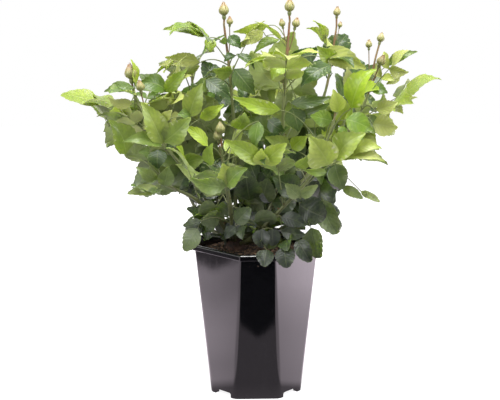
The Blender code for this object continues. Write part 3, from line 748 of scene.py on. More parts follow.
def addLeaf(name, cane, row, node=None):
    along, tip, turn, rise, count, ageAndShade, number = row
    form = leafForm
    rng = random.Random(f"{name} {number}")
    tip = Vector(tip)
    blunt = bluntness(tip)
    wide = 1 + form["bluntWidth"] * blunt
    line = LeafLine(cane.sideStart(along, tip, form["footRadius"]), tip, rise, turn)
    endShare = form["endShares"][count]
    least, more, vary = form["tones"]
    # the tone by height is partly the paler colour of young top leaves and partly painted shade on low leaves
    byHeight = least + more * smoothStep(*form["toneHeights"], tip.z) + rng.uniform(-vary, vary)
    tone = min(max(byHeight if ageAndShade is None else ageAndShade, 0.0), 1.0)
    shape = Shape()
    addStalk(shape, cane.reach(along, tip, form["stalk"][0]), line, endShare, form["stalkSteps"])
    base = line.point(endShare)
    length = (tip - base).length
    addBlade(shape, base, (tip - base) / length, line.frame(endShare)[2], length,
             wide * form["endWidth"] * rng.uniform(*form["slim"]), tone, rng, blunt)
    for u, size in form["pairs"][count]:
        ahead, side, up = line.frame(u)
        for hand in (-1, 1):
            spread = math.radians(form["spread"] + rng.uniform(-form["spreadVary"], form["spreadVary"]))
            droop = form["droop"] + rng.uniform(-form["droopVary"], form["droopVary"])
            way = (ahead * math.cos(spread) + side * hand * math.sin(spread) - up * droop).normalized()
            start = line.point(u) + side * hand * 0.5 * form["stalk"][1]
            addBlade(shape, start, way, up, size * length * rng.uniform(*form["pairLength"]),
                     wide * form["pairWidth"] * rng.uniform(*form["slim"]), tone, rng, blunt)
    # a pair of narrow stipules where the stalk leaves the cane
    ahead, side, up = line.frame(0.0)
    for hand in (-1, 1):
        way = (ahead + side * hand * form["stipuleSpread"]).normalized()
        addBlade(shape, line.point(0.01), way, up, form["stipule"], form["stipuleWidth"], tone, rng)
    piece = shape.make(name, [leafGreen, caneSkin], 70)
    if node:
        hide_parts(node)
    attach(piece, "root")
    return piece


def rowInMetres(row):
    return (row[0], metres(row[1]), *row[2:])


leafPieces = []
for name, spec in shoots.items():
    for k, row in enumerate(spec.get("leaves", ()), 1):
        node = f"leaf_{name}_{k}"
        leafPieces.append(addLeaf("rose_" + node, canes[name], rowInMetres(row), node))
    for number, row in moreLeaves.get(name, {}).items():
        leafPieces.append(addLeaf(f"rose_leaf_{name}_more_{number}", canes[name], rowInMetres(row)))
print("placed leaves:", len(leafPieces))

# ---- leaves told blade by blade. Of each: its cane and how far along it leaves, and the end of its stalk in
# millimetres; of each blade its base and tip in millimetres, half its width in thousandths of its length, its
# lean in degrees, its tone (partly age, partly painted shade) and lushness in hundredths, and its shape's
# number

leafSprays = {
    "pale_low": ("front", 0.27, (-91, -80, 300), (
        ((-95, -82, 289), (-117, -100, 258), 368, -24, 38, 25, 6),
        ((-90, -81, 302), (-118, -95, 297), 232, -24, 9, 30, 14))),
    "dark_low": ("low_left", 0.37, (-59, -50, 309), (
        ((-59, -52, 308), (-91, -66, 296), 407, -24, 29, 30, 4),)),
    "rim_round": ("front_right", 0.12, (12, -105, 261), (
        ((14, -107, 260), (8, -124, 237), 483, 8, 0, 20, 16),)),
    "rim_dark": ("low_right", 0.32, (39, -100, 264), (
        ((41, -102, 263), (45, -118, 233), 467, -24, 0, 20, 4),)),
    "rim_right": ("low_right", 0.47, (62, -98, 278), (
        ((61, -99, 275), (83, -112, 241), 311, 8, 8, 25, 23),)),
    "big_low": ("low_right", 0.67, (83, -80, 292), (
        ((85, -81, 289), (100, -95, 243), 375, 8, 18, 30, 0),)),
    "dark_round": ("low_right", 0.77, (69, -40, 322), (
        ((69, -42, 319), (111, -55, 299), 516, 8, 0, 10, 1),)),
    "right_low": ("low_right", 0.92, (106, -20, 326), (
        ((108, -21, 323), (132, -30, 266), 286, 24, 33, 60, 12),)),
    "gloss_low": ("front_right", 0.32, (37, -85, 309), (
        ((37, -87, 308), (74, -100, 298), 300, 24, 0, 30, 4),
        ((37, -87, 285), (74, -100, 282), 261, 24, 9, 30, 1))),
    "mid_low": ("front_right", 0.22, (-35, -90, 295), (
        ((-35, -91, 300), (-11, -95, 325), 381, 24, 9, 70, 10),
        ((-35, -91, 294), (-52, -100, 278), 337, -8, 0, 40, 8))),
    "crown_dark": ("front_right", 0.22, (16, -85, 290), (
        ((7, -86, 289), (6, -94, 260), 469, -8, 0, 20, 5),
        ((23, -86, 289), (25, -94, 263), 485, -24, 0, 20, 6))),
    "star": ("front", 0.67, (-51, -170, 372), (
        ((-51, -171, 375), (-105, -185, 392), 228, -24, 39, 50, 14),
        ((-50, -171, 375), (-19, -185, 405), 313, 24, 37, 60, 8),
        ((-53, -171, 377), (-57, -180, 412), 386, 8, 73, 60, 0))),
    "wing": ("front", 0.87, (3, -175, 405), (
        ((1, -176, 410), (-54, -190, 448), 205, -24, 50, 60, 20),
        ((4, -176, 410), (39, -190, 443), 299, 24, 60, 60, 20),
        ((3, -176, 408), (2, -186, 435), 421, 8, 73, 60, 12))),
    "broad": ("front_right", 0.72, (107, -165, 404), (
        ((104, -167, 406), (72, -180, 451), 449, -24, 73, 15, 1),
        ((114, -167, 413), (157, -180, 456), 334, -8, 59, 30, 7),
        ((138, -166, 428), (182, -176, 431), 230, 8, 74, 40, 6),
        ((123, -166, 413), (187, -176, 411), 161, 8, 95, 30, 14))),
    "edge_right": ("right", 0.67, (182, -60, 455), (
        ((183, -61, 452), (222, -70, 448), 427, 8, 100, 25, 18),)),
    "bright_low": ("front_right", 0.92, (129, -150, 470), (
        ((130, -151, 473), (170, -160, 457), 365, -8, 28, 100, 6),
        ((127, -151, 462), (121, -156, 446), 419, 8, 23, 100, 13))),
    "bright_top": ("front_right", 0.92, (138, -130, 484), (
        ((140, -131, 487), (177, -140, 546), 296, -8, 45, 100, 7),)),
    "bright_mid": ("front_right", 0.82, (112, -140, 470), (
        ((110, -141, 469), (76, -150, 478), 361, -8, 27, 90, 18),
        ((119, -141, 482), (110, -150, 518), 321, -8, 80, 80, 22))),
    "olive_top": ("tall", 0.82, (109, -10, 552), (
        ((106, -12, 562), (175, -30, 536), 224, -8, 100, 70, 2),
        ((128, -12, 549), (96, -30, 573), 299, -24, 55, 50, 15))),
    "olive_mid": ("tall", 0.72, (119, -40, 545), (
        ((117, -42, 544), (69, -60, 510), 258, 8, 2, 70, 0),)),
    "shade_mid": ("tall", 0.62, (53, -90, 484), (
        ((53, -91, 482), (63, -100, 447), 454, 24, 11, 40, 4),
        ((51, -91, 490), (111, -100, 500), 169, 24, 13, 30, 11),
        ((62, -91, 468), (112, -105, 493), 148, 8, 17, 40, 9))),
    "pale_mid": ("front", 0.92, (0, -120, 466), (
        ((0, -121, 465), (-5, -130, 426), 282, -24, 24, 80, 11),)),
    "ribbon": ("front_right", 0.82, (33, -130, 484), (
        ((32, -131, 485), (-41, -140, 506), 150, -8, 48, 90, 4),)),
    "shade_left": ("front", 0.77, (-32, -60, 444), (
        ((-32, -61, 445), (-20, -70, 473), 558, 8, 46, 50, 1),)),
    "blade_top": ("tall", 0.82, (47, -30, 554), (
        ((45, -32, 556), (-6, -45, 552), 195, -24, 61, 80, 5),
        ((42, -32, 545), (24, -50, 521), 379, 8, 49, 90, 22))),
    "fan_left": ("far_left", 0.57, (-144, -150, 432), (
        ((-146, -151, 437), (-177, -165, 502), 243, -24, 57, 35, 9),
        ((-145, -151, 440), (-103, -165, 479), 300, 8, 48, 40, 18),
        ((-147, -151, 434), (-206, -165, 442), 185, 8, 41, 40, 6),
        ((-149, -151, 473), (-131, -165, 490), 265, 8, 100, 20, 8))),
    "moon_left": ("low_left", 0.92, (-205, -70, 403), (
        ((-207, -71, 408), (-232, -85, 464), 344, 8, 45, 50, 15),)),
    "light_left": ("front", 0.92, (-78, -130, 427), (
        ((-78, -131, 430), (-115, -140, 462), 206, 8, 57, 90, 16),)),
    "bud_left": ("far_left", 0.92, (-191, -70, 506), (
        ((-192, -71, 512), (-238, -80, 507), 200, -24, 24, 50, 16),)),
    "lobe_left": ("far_left", 0.82, (-144, -40, 502), (
        ((-143, -41, 505), (-187, -50, 517), 348, 8, 18, 70, 12),
        ((-145, -41, 502), (-110, -50, 539), 217, 24, 42, 70, 1))),
    "veined": ("far_left", 0.67, (-109, -80, 466), (
        ((-107, -81, 468), (-85, -90, 521), 287, -24, 56, 35, 22),
        ((-104, -81, 475), (-125, -94, 473), 338, -8, 26, 80, 19))),
    "far_mid": ("far_left", 0.82, (-192, -100, 491), (
        ((-194, -101, 491), (-230, -110, 504), 240, -24, 100, 30, 7),)),
    "deep_green": ("far_left", 0.47, (-89, -60, 461), (
        ((-90, -61, 463), (-52, -70, 486), 229, 8, 54, 90, 0),)),
    "low_far": ("low_left", 0.82, (-154, -70, 361), (
        ((-157, -71, 368), (-191, -80, 389), 241, -8, 45, 40, 19),
        ((-154, -71, 350), (-205, -85, 347), 195, 8, 64, 30, 23),
        ((-148, -71, 356), (-141, -80, 390), 370, 24, 34, 40, 4))),
    "dusk_left": ("far_left", 0.47, (-154, -50, 414), (
        ((-157, -51, 411), (-157, -60, 382), 496, -24, 0, 40, 0),
        ((-116, -52, 438), (-145, -70, 414), 222, -24, 0, 40, 17))),
    "dusk_mid": ("far_left", 0.32, (-119, -70, 388), (
        ((-119, -71, 390), (-81, -80, 402), 322, 24, 44, 30, 9),)),
    "crest": ("center", 0.92, (-76, 20, 582), (
        ((-75, 19, 585), (-149, 10, 596), 150, 24, 46, 60, 14),
        ((-75, 19, 582), (-73, 12, 559), 420, -24, 54, 70, 5))),
    "crest_low": ("center", 0.82, (-90, 10, 543), (
        ((-91, 9, 544), (-146, 0, 553), 202, -24, 100, 60, 12),
        ((-101, 9, 538), (-156, 0, 539), 153, -8, 100, 30, 23))),
    "tail_right": ("front_right", 0.62, (122, -60, 388), (
        ((124, -62, 388), (136, -75, 350), 381, 24, 30, 40, 8),
        ((136, -62, 351), (167, -80, 335), 213, 24, 41, 60, 13),
        ((166, -62, 344), (194, -82, 330), 176, 8, 67, 10, 20))),
    "top_a": ("tall", 0.92, (28, 40, 601), (
        ((22, 39, 601), (-36, 30, 591), 144, -24, 69, 70, 12),)),
    "top_b": ("tall", 0.92, (17, 20, 585), (
        ((13, 19, 592), (-23, 10, 570), 241, -24, 100, 20, 0),
        ((39, 19, 579), (-2, 12, 557), 201, 24, 39, 60, 10))),
    "top_c": ("center", 0.92, (-44, 10, 579), (
        ((-43, 9, 586), (-24, 0, 566), 355, 8, 0, 60, 10),
        ((-46, 9, 581), (-59, 4, 577), 390, -24, 37, 60, 6))),
    "top_d": ("center", 0.82, (-32, 0, 555), (
        ((-30, -1, 558), (-3, -12, 533), 198, -24, 5, 50, 10),
        ((-33, -1, 556), (-51, -6, 546), 395, -8, 0, 60, 21))),
    "top_e": ("tall", 0.82, (56, 10, 552), (
        ((56, 9, 554), (107, 0, 569), 137, 24, 0, 60, 13),)),
    "top_f": ("right", 0.87, (177, -80, 507), (
        ((177, -81, 508), (202, -86, 504), 422, -8, 9, 90, 22),)),
    "top_g": ("right", 0.92, (217, 40, 532), (
        ((217, 39, 534), (267, 30, 558), 158, -24, 37, 40, 14),
        ((227, 40, 530), (249, 36, 527), 247, 24, 50, 40, 5),
        ((240, 40, 514), (217, 36, 504), 294, -24, 100, 20, 10))),
    "pale_top": ("right", 0.77, (149, -60, 501), (
        ((149, -61, 503), (140, -70, 543), 245, -8, 100, 0, 4),)),
    "deep_a": ("center", 0.72, (-38, -10, 530), (
        ((-38, -11, 530), (-69, -20, 537), 375, -24, 49, 50, 10),
        ((-35, -12, 535), (-2, -25, 495), 297, -8, 10, 60, 23))),
    "deep_b": ("center", 0.72, (-80, -20, 518), (
        ((-80, -22, 519), (-41, -35, 491), 283, -8, 0, 40, 10),
        ((-82, -21, 522), (-96, -30, 497), 379, -24, 42, 40, 1))),
    "dusk_a": ("front_right", 0.47, (68, -70, 342), (
        ((66, -71, 344), (24, -80, 373), 380, 8, 10, 30, 3),)),
    "pale_c": ("front_right", 0.47, (66, -110, 342), (
        ((66, -111, 345), (92, -120, 366), 249, 8, 47, 20, 11),
        ((65, -111, 345), (41, -120, 368), 330, -8, 45, 30, 4))),
    "dusk_b": ("tall", 0.52, (17, -60, 461), (
        ((17, -61, 459), (43, -70, 443), 379, 8, 0, 40, 0),
        ((52, -61, 416), (12, -70, 434), 252, -8, 56, 40, 1))),
    "glow_a": ("front_right", 0.72, (54, -80, 414), (
        ((54, -81, 416), (77, -90, 438), 373, 24, 50, 90, 0),)),
    "glow_b": ("front_right", 0.62, (56, -140, 393), (
        ((56, -141, 397), (75, -150, 421), 321, 24, 41, 70, 21),
        ((103, -141, 390), (66, -150, 397), 169, -8, 34, 90, 5))),
    "glow_c": ("front", 0.77, (-75, -130, 399), (
        ((-75, -131, 400), (-70, -140, 436), 281, 8, 39, 90, 21),)),
    "dark_a": ("tall", 0.17, (-10, -20, 317), (
        ((-10, -21, 322), (-15, -30, 374), 431, 8, 14, 20, 7),
        ((10, -21, 317), (19, -30, 360), 418, -24, 32, 20, 21))),
    "olive_b": ("right", 0.77, (192, -30, 467), (
        ((192, -31, 470), (226, -36, 484), 303, 8, 100, 30, 15),)),
}
sprayForm = {"facing": (0.0, -0.85, 0.53), "rise": 0.14, "steps": 10, "twig": 0.0007, "join": 0.0015}


def addSpray(name, cane, along, joint, blades):
    form = sprayForm
    joint = Vector(metres(joint))
    shape = Shape()
    root = leafForm["stalk"][0]
    line = LeafLine(cane.sideStart(along, joint, root), joint, form["rise"], 0)
    addStalk(shape, cane.reach(along, joint, root), line, 1, form["steps"])
    for k, (base, tip, width, lean, ageAndShade, lush, number) in enumerate(blades, 1):
        base, tip = Vector(metres(base)), Vector(metres(tip))
        if (base - joint).length > form["join"]:
            addTube(shape, [joint, base], [form["twig"]] * 2, 6, 1, [leafForm["stalkTint"]] * 2)
        length = (tip - base).length
        ahead = (tip - base) / length
        facing = Vector(form["facing"])
        up = (facing - ahead * facing.dot(ahead)).normalized()
        up = Matrix.Rotation(math.radians(lean), 3, ahead) @ up
        addBlade(shape, base, ahead, up, length, width / 1000, ageAndShade / 100,
                 random.Random(f"{name} {k} {number}"), bluntness(tip), lush / 100)
    piece = shape.make("rose_spray_leaf_" + name, [leafGreen, caneSkin], 70)
    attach(piece, "root")
    return piece


for name, (shoot, along, joint, blades) in leafSprays.items():
    leafPieces.append(addSpray(name, canes[shoot], along, joint, blades))

# ---- and leaves by rule: one at each node up a cane, turning round it, some nodes left bare

growth = {"step": 0.024, "turn": 137.5, "length": (0.075, 0.110), "lift": 0.55, "outward": 0.35,
          "first": 0.30, "last": 0.93, "middle": (0.025, 0.075, 0.435), "reach": (0.160, 0.155, 0.130),
          "lowest": 0.27,
          "shorter": 0.12, "topHeights": (0.50, 0.62), "rise": (0.10, 0.20), "counts": (5, 5, 3),
          "bare": {"back_left": (2,), "center": (3,)}}


def growLeaves(name, cane):
    form, grown = growth, []
    rng = random.Random("growth " + name)
    count = int(cane.length * (form["last"] - form["first"]) / form["step"])
    angle = rng.uniform(0, 360)
    for k in range(count):
        angle += form["turn"]
        t = form["first"] + (form["last"] - form["first"]) * (k + 0.5) / count
        foot, axis = cane.place(t)
        side = axis.orthogonal().normalized()
        side = Matrix.Rotation(math.radians(angle), 3, axis) @ side
        out = Vector((foot.x, foot.y, 0)) - Vector((*form["middle"][:2], 0))
        way = (side + axis * form["lift"] + out.normalized() * form["outward"]).normalized()
        length = rng.uniform(*form["length"])
        length *= 1.0 - form["shorter"] * smoothStep(*form["topHeights"], foot.z)
        tip = foot + way * length
        offset = [(tip[i] - form["middle"][i]) / form["reach"][i] for i in range(3)]
        if sum(v * v for v in offset) > 1 or tip.z < form["lowest"]:
            continue
        grown.append((t, tuple(tip), 0, rng.uniform(*form["rise"]), rng.choice(form["counts"]), None, 0))
    return grown


placed = len(leafPieces)
for name, cane in canes.items():
    for k, row in enumerate(growLeaves(name, cane), 1):
        if k not in growth["bare"].get(name, ()):
            leafPieces.append(addLeaf(f"rose_spray_{name}_{k}", cane, row))
print("further leaves:", len(leafPieces) - placed)

# ---- buds: a turned closed flower, five sepals wrapped round it, and the hip and stalk below

budForm = {"profile": ((0.00, 0.36), (0.08, 0.72), (0.24, 0.98), (0.42, 1.00), (0.60, 0.78), (0.78, 0.44),
                       (0.92, 0.17), (1.00, 0.03)), "bulb": 1.32, "hip": 0.50, "sides": 20, "rings": 16,
           "hipRings": ((0.18, 0.15), (0.45, 0.215), (0.75, 0.215), (1.0, 0.17)), "stalk": 0.0011,
           "stalkShare": 0.08, "foot": 0.0012, "sink": 0.004, "endShare": 0.92, "bend": 0.02,
           "redness": (0.55, 0.40), "redHeights": (0.45, 0.56), "stalkTint": (0.86, 0.0, 0.5),
           "hipTint": (0.62, 0.0, 0.5), "flower": (0.985, 0.93), "swirl": 0.05, "sepals": 5, "sepalRows": 9,
           "sepalColumns": (-1.0, -0.5, 0.0, 0.5, 1.0), "sepalWide": 0.62, "proud": 0.0004}


def profileAt(t):
    stops = budForm["profile"]
    for (a, low), (b, high) in zip(stops, stops[1:]):
        if t <= b:
            share = (t - a) / (b - a)
            return low + (high - low) * smoothStep(0, 1, share) * 0.4 + (high - low) * share * 0.6
    return stops[-1][1]


def addBud(name, cane, row, node=None):
    form, shape = budForm, Shape()
    tip, width, along = Vector(metres(row[0])), row[1], row[2]
    rng = random.Random(name)
    if along < 1:
        foot = cane.reach(along, tip, form["foot"])
        stalkRadius = min(form["stalk"], form["stalkShare"] * width)
    else:
        foot = cane.line[-1] - cane.place(1.0 - 1e-6)[1] * form["sink"]
        stalkRadius = cane.radius(1.0) * form["endShare"]
    way = (tip - foot).normalized()
    bulb, hip = form["bulb"] * width, form["hip"] * width
    top = tip - way * bulb
    bend = way.orthogonal() * rng.uniform(-form["bend"], form["bend"]) * (tip - foot).length
    under = top - way * hip
    stalk = smoothLine([foot, (foot + under) / 2 + bend, under], 4)
    line = stalk + [under + way * hip * share for share, _ in form["hipRings"]]
    radii = [stalkRadius] * len(stalk) + [width * radius for _, radius in form["hipRings"]]
    redness = form["redness"][0] + form["redness"][1] * rng.random()
    redness *= 0.35 + 0.65 * smoothStep(*form["redHeights"], tip.z)
    tints = [form["stalkTint"]] * len(stalk) + [form["hipTint"]] * len(form["hipRings"])
    addTube(shape, line, radii, 10, 1, tints)
    # the flower itself, and then the sepals over it
    side = way.orthogonal().normalized()
    other = way.cross(side)
    sides, rings = form["sides"], form["rings"]
    long, wide = bulb * form["flower"][0], 0.5 * width * form["flower"][1]
    verts, uvs, tints = [], [], []
    start = rng.uniform(0, 2 * math.pi)
    for k in range(rings + 1):
        t = k / rings
        for i in range(sides):
            turn = 2 * math.pi * i / sides
            radius = wide * profileAt(t) * (1 + form["swirl"] * t * math.cos(3 * turn + 5 * t + start))
            verts.append(top + way * (t * long) + radius * (math.cos(turn) * side + math.sin(turn) * other))
            uvs.append((i / sides, t))
            tints.append((0.25 + 0.75 * smoothStep(0.45, 1.0, t) * redness, 0.0, 0.5))
    caps = [tuple(range(sides - 1, -1, -1)), tuple(rings * sides + i for i in range(sides))]
    shape.add(verts, caps + ringFaces(rings + 1, sides), 0, uvs, tints)
    for k in range(form["sepals"]):
        turn = start + k * 2 * math.pi / form["sepals"]
        addSepal(shape, top, (way, side, other), width, turn, redness, rng)
    piece = shape.make(name, [budSkin, caneSkin], 60)
    if node:
        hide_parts(node)
    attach(piece, "root")
    return piece


def addSepal(shape, top, axes, width, turn, redness, rng):
    form = budForm
    way, side, other = axes
    rows, columns = form["sepalRows"], form["sepalColumns"]
    length = form["bulb"] * width * rng.uniform(0.94, 1.06)
    front, back, uvs, tints = [], [], [], []
    for k in range(rows + 1):
        t = k / rows
        half = form["sepalWide"] * (1 - t ** 2.6) * (0.85 + 0.15 * math.sin(math.pi * t)) + 0.03
        for a in columns:
            angle = turn + half * a
            radius = 0.5 * width * profileAt(min(t * 0.97, 1.0))
            bump = form["proud"] * (1.5 - a * a) + 0.0009 * t ** 6
            out = math.cos(angle) * side + math.sin(angle) * other
            middle = top + way * (t * length)
            front.append(middle + out * (radius + bump))
            back.append(middle + out * max(radius - 0.0004, 0.0002))
            uvs.append(((a + 1) / 2, t))
            red = redness * (0.62 * smoothStep(0.25, 1.0, t) + 0.18 * abs(a))
            tints.append((0.10 + red, 0.0, 0.5))
    shape.add(front + back, sheetFaces(rows, len(columns)), 0, uvs * 2, tints * 2)


# small buds that the CAD model leaves out
moreBuds = {
    "front": (((-65, -100, 449), 0.0115, 0.84),),
    "tall": (((39, -30, 526), 0.0110, 0.72),),
    "back_right": (((145, 78, 604), 0.0070, 0.95),),
    "rear": (((12, 137, 543), 0.0140, 1.0),),
    "rear_left": (((-163, 118, 466), 0.0130, 1.0),),
}
budPieces = []
for name, spec in shoots.items():
    for k, row in enumerate(spec.get("buds", ()), 1):
        budPieces.append(addBud(f"rose_bud_{name}_{k}", canes[name], row, f"bud_{name}_{k}"))
    for k, row in enumerate(moreBuds.get(name, ()), 1):
        budPieces.append(addBud(f"rose_bud_{name}_more_{k}", canes[name], row))
print("buds:", len(budPieces))

# ---- container: a thin shell with rounded corners, a rolled rim, corner feet and drain holes

potForm = {"height": 0.250, "sideTop": 0.181, "sideFoot": 0.1573, "cornerTop": 0.0555, "cornerFoot": 0.073,
           "wall": 0.0018, "rimHeight": 0.009, "rimLip": 0.004, "soft": 0.0006, "footHeight": 0.008,
           "footDepth": 0.009, "notch": (0.040, 0.035, 0.020), "notchEdge": 0.003, "base": 0.002,
           "drain": 0.006, "drainRing": 0.048, "fillet": (0.0060, 0.0015), "arc": 6, "hold": 0.0008}


def potRing(z, inset=0.0):
    # the container's outline at a height, its eight corners rounded
    form = potForm
    t = z / (form["height"] - form["rimHeight"])
    side = form["sideFoot"] + (form["sideTop"] - form["sideFoot"]) * t
    corner = form["cornerFoot"] + (form["cornerTop"] - form["cornerFoot"]) * t
    reach = side / math.sqrt(2) - corner / 2 - inset
    corner -= 2 * (math.sqrt(2) - 1) * inset
    cut = form["fillet"][0] + (form["fillet"][1] - form["fillet"][0]) * min(t, 1.0)
    points = []
    for turn in (k * math.pi / 2 for k in range(4)):
        for half in (-corner / 2, corner / 2):
            points.append(Vector((reach * math.cos(turn) - half * math.sin(turn),
                                  reach * math.sin(turn) + half * math.cos(turn))))
    ring = []
    for k, here in enumerate(points):
        back, on = (points[k - 1] - here).normalized(), (points[(k + 1) % 8] - here).normalized()
        a, b = here + back * cut, here + on * cut
        shares = [i / form["arc"] for i in range(form["arc"] + 1)]
        arc = [a.lerp(here, share).lerp(here.lerp(b, share), share) for share in shares]
        # a point beside each end of the arc keeps the flat panels flat in the shading
        ring += [(*point, z) for point in (a + back * form["hold"], *arc, b + on * form["hold"])]
    return ring


def loftRings(bm, rings):
    loops = [[bm.verts.new(p) for p in ring] for ring in rings]
    for low, high in zip(loops, loops[1:]):
        for k in range(len(low)):
            after = (k + 1) % len(low)
            bm.faces.new((low[k], low[after], high[after], high[k]))
    bm.faces.new(loops[0][::-1])
    bm.faces.new(loops[-1])


def meshOf(name, bm):
    mesh = bpy.data.meshes.new(name)
    bm.to_mesh(mesh)
    bm.free()
    return mesh


def meshPiece(name, bm, material=None):
    bmesh.ops.recalc_face_normals(bm, faces=bm.faces)
    piece = addObject(name, meshOf(name, bm))
    if material:
        piece.data.materials.append(material)
    return piece


def evaluatedMesh(piece):
    return bpy.data.meshes.new_from_object(piece.evaluated_get(bpy.context.evaluated_depsgraph_get()))


def potCutters():
    form = potForm
    bm = bmesh.new()
    loftRings(bm, [potRing(-0.010, form["footDepth"]), potRing(form["footHeight"], form["footDepth"])])
    yield meshPiece("cutRecess", bm)
    diagonals = [math.pi / 4 + k * math.pi / 2 for k in range(5)]
    for k, turn in enumerate(diagonals[:4]):
        bm = bmesh.new()
        bmesh.ops.create_cube(bm, size=1.0)
        bmesh.ops.scale(bm, vec=form["notch"], verts=bm.verts)
        bmesh.ops.translate(bm, vec=(form["sideFoot"] / 2, 0, form["footHeight"] - 0.010), verts=bm.verts)
        bmesh.ops.rotate(bm, matrix=Matrix.Rotation(turn, 3, "Z"), verts=bm.verts)
        bmesh.ops.bevel(bm, geom=[e for e in bm.edges if abs((e.verts[0].co - e.verts[1].co).z) < 1e-6],
                        offset=form["notchEdge"], segments=3, profile=0.5, affect="EDGES")
        yield meshPiece(f"cutNotch{k}", bm)
    for k, turn in enumerate(diagonals):
        out = form["drainRing"] if k else 0.0
        place = Matrix.Translation((out * math.cos(turn), out * math.sin(turn), 0.008))
        bm = bmesh.new()
        bmesh.ops.create_cone(bm, cap_ends=True, segments=24, radius1=form["drain"], radius2=form["drain"],
                              depth=0.03, matrix=place)
        yield meshPiece(f"cutDrain{k}", bm)


def buildPot():
    form = potForm
    top, lip, wall, soft = [form[key] for key in ("height", "rimLip", "wall", "soft")]
    rim, floor = top - form["rimHeight"], form["footHeight"] + form["base"]
    bm = bmesh.new()
    # heights and insets, up the outside, round the rim and down the inside
    loftRings(bm, [potRing(z, inset) for z, inset in (
        (0.0, 0.0), (rim - 0.0024, 0.0), (rim - 0.0012, 0.0), (rim - 0.0004, -soft), (rim, -lip + soft),
        (rim + 0.0007, -lip), (top - 0.0032, -lip), (top - 0.0014, -lip + 0.0004),
        (top - 0.0004, -lip + 0.0015), (top, -lip + 0.0032), (top, wall - 2 * soft),
        (top - 0.0005, wall - soft / 2), (top - 0.0016, wall), (floor + 0.003, wall), (floor, wall + 0.003))])
    pot = meshPiece("rose_pot", bm, blackPlastic)
    cutters = list(potCutters())
    for cutter in cutters:
        boolean = pot.modifiers.new(cutter.name, "BOOLEAN")
        boolean.object, boolean.solver = cutter, "EXACT"
    mesh, uncut = evaluatedMesh(pot), pot.data
    pot.modifiers.clear()
    pot.data = mesh
    bpy.data.meshes.remove(uncut)
    shadeSmooth(mesh, 35)
    mesh.materials.clear()
    mesh.materials.append(blackPlastic)
    for cutter in cutters:
        bpy.data.objects.remove(cutter, do_unlink=True)
    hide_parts("pot")
    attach(pot, "root")


buildPot()
print("container made")

# ---- potting mix: an uneven surface with bark chips on it

soilForm = {"edge": 0.231, "crown": 0.236, "gap": 0.0004, "low": 0.0104, "bumps": 0.0022, "rings": 26,
            "lumps": ((70, 0.6), (190, 0.4), (480, 0.25))}


def buildSoil():
    form = soilForm
    inset = potForm["wall"] + form["gap"]
    bm = bmesh.new()
    rings = [potRing(form["low"], inset), potRing(form["edge"] - 0.002, inset)]
    outer = potRing(form["edge"], inset)
    for k in range(form["rings"]):
        scale = 1 - k / form["rings"]
        middle = form["edge"] + (form["crown"] - form["edge"]) * smoothStep(0.0, 0.45, 1 - scale)
        bumps = form["bumps"] * smoothStep(0, 0.08, 1 - scale)
        rings.append([])
        for x, y, _ in outer:
            place = Vector((x * scale, y * scale, 0))
            rough = sum(noise.noise(place * fineness) * share for fineness, share in form["lumps"])
            rings[-1].append((place.x, place.y, middle + bumps * rough))
    loftRings(bm, rings)
    soil = meshPiece("rose_potting_mix", bm, pottingMix)
    shadeSmooth(soil.data, 60)
    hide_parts("potting_mix")
    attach(soil, "root")
    return soil


soil = buildSoil()


def groundOf(name, pieces, wanted):
    # a mesh of the pieces' faces whose middle and normal pass a test
    bm = bmesh.new()
    for piece in pieces:
        bm.from_mesh(piece.data)
    gone = [f for f in bm.faces if not wanted(f.calc_center_median(), f.normal)]
    bmesh.ops.delete(bm, geom=gone, context="FACES")
    return meshOf(name, bm)


class Tree(Nodes):
    # a Geometry Nodes tree with a form's entries as its inputs, which scatters a shape over a mesh

    def __init__(self, name, form):
        super().__init__(bpy.data.node_groups.new(name, "GeometryNodeTree"))
        self.form, face = form, self.tree.interface
        face.new_socket("Geometry", in_out="INPUT", socket_type="NodeSocketGeometry")
        for label, value in form.items():
            kind = "NodeSocketInt" if isinstance(value, int) else "NodeSocketFloat"
            face.new_socket(label, in_out="INPUT", socket_type=kind).default_value = value
        face.new_socket("Geometry", in_out="OUTPUT", socket_type="NodeSocketGeometry")
        self.start = self.node("NodeGroupInput")
        self.end = self.tree.nodes.new("NodeGroupOutput").inputs["Geometry"]
        self.points = self.node("GeometryNodeDistributePointsOnFaces",
                                {"Mesh": self.start["Geometry"], "Distance Min": self.start["Spacing"],
                                 "Density Max": self.start["Density"], "Seed": self.start["Seed"]},
                                distribute_method="POISSON")

    def chance(self, low, high, seed):
        return self.node("FunctionNodeRandomValue", {0: low, 1: high, "Seed": seed},
                         data_type="FLOAT_VECTOR")[0]

    def scatter(self, ground, name, shape, turn, scale, material):
        # the shape on every point of the ground, as one new piece
        copies = self.node("GeometryNodeInstanceOnPoints", {
            "Points": self.points["Points"], "Instance": shape, "Rotation": turn, "Scale": scale})
        real = self.node("GeometryNodeRealizeInstances", {0: copies[0]})
        coated = self.node("GeometryNodeSetMaterial", {"Geometry": real[0], "Material": material})
        self.feed(self.end, coated[0])
        holder = addObject(name, ground)
        modifier = holder.modifiers.new("tree", "NODES")
        modifier.node_group = self.tree
        for item in self.tree.interface.items_tree:
            if item.in_out == "INPUT" and item.name in self.form:
                modifier[item.identifier] = self.form[item.name]
        mesh = evaluatedMesh(holder)
        bpy.data.objects.remove(holder, do_unlink=True)
        mesh.name = name
        return addObject(name, mesh)


# bark chips lie on the mix, thick flat flakes turned every way

chipForm = {"Density": 42000.0, "Spacing": 0.0028, "Size": 0.0042, "Seed": 5}
chipZone = {"flat": 0.5, "below": 0.003, "across": 1.36 * 0.97 / 2}
flakeForm = {"smallest": (0.5, 0.25, 0.12), "largest": (1.5, 0.7, 0.38), "lean": 0.5, "turn": 6.283,
             "jagged": 1.3}


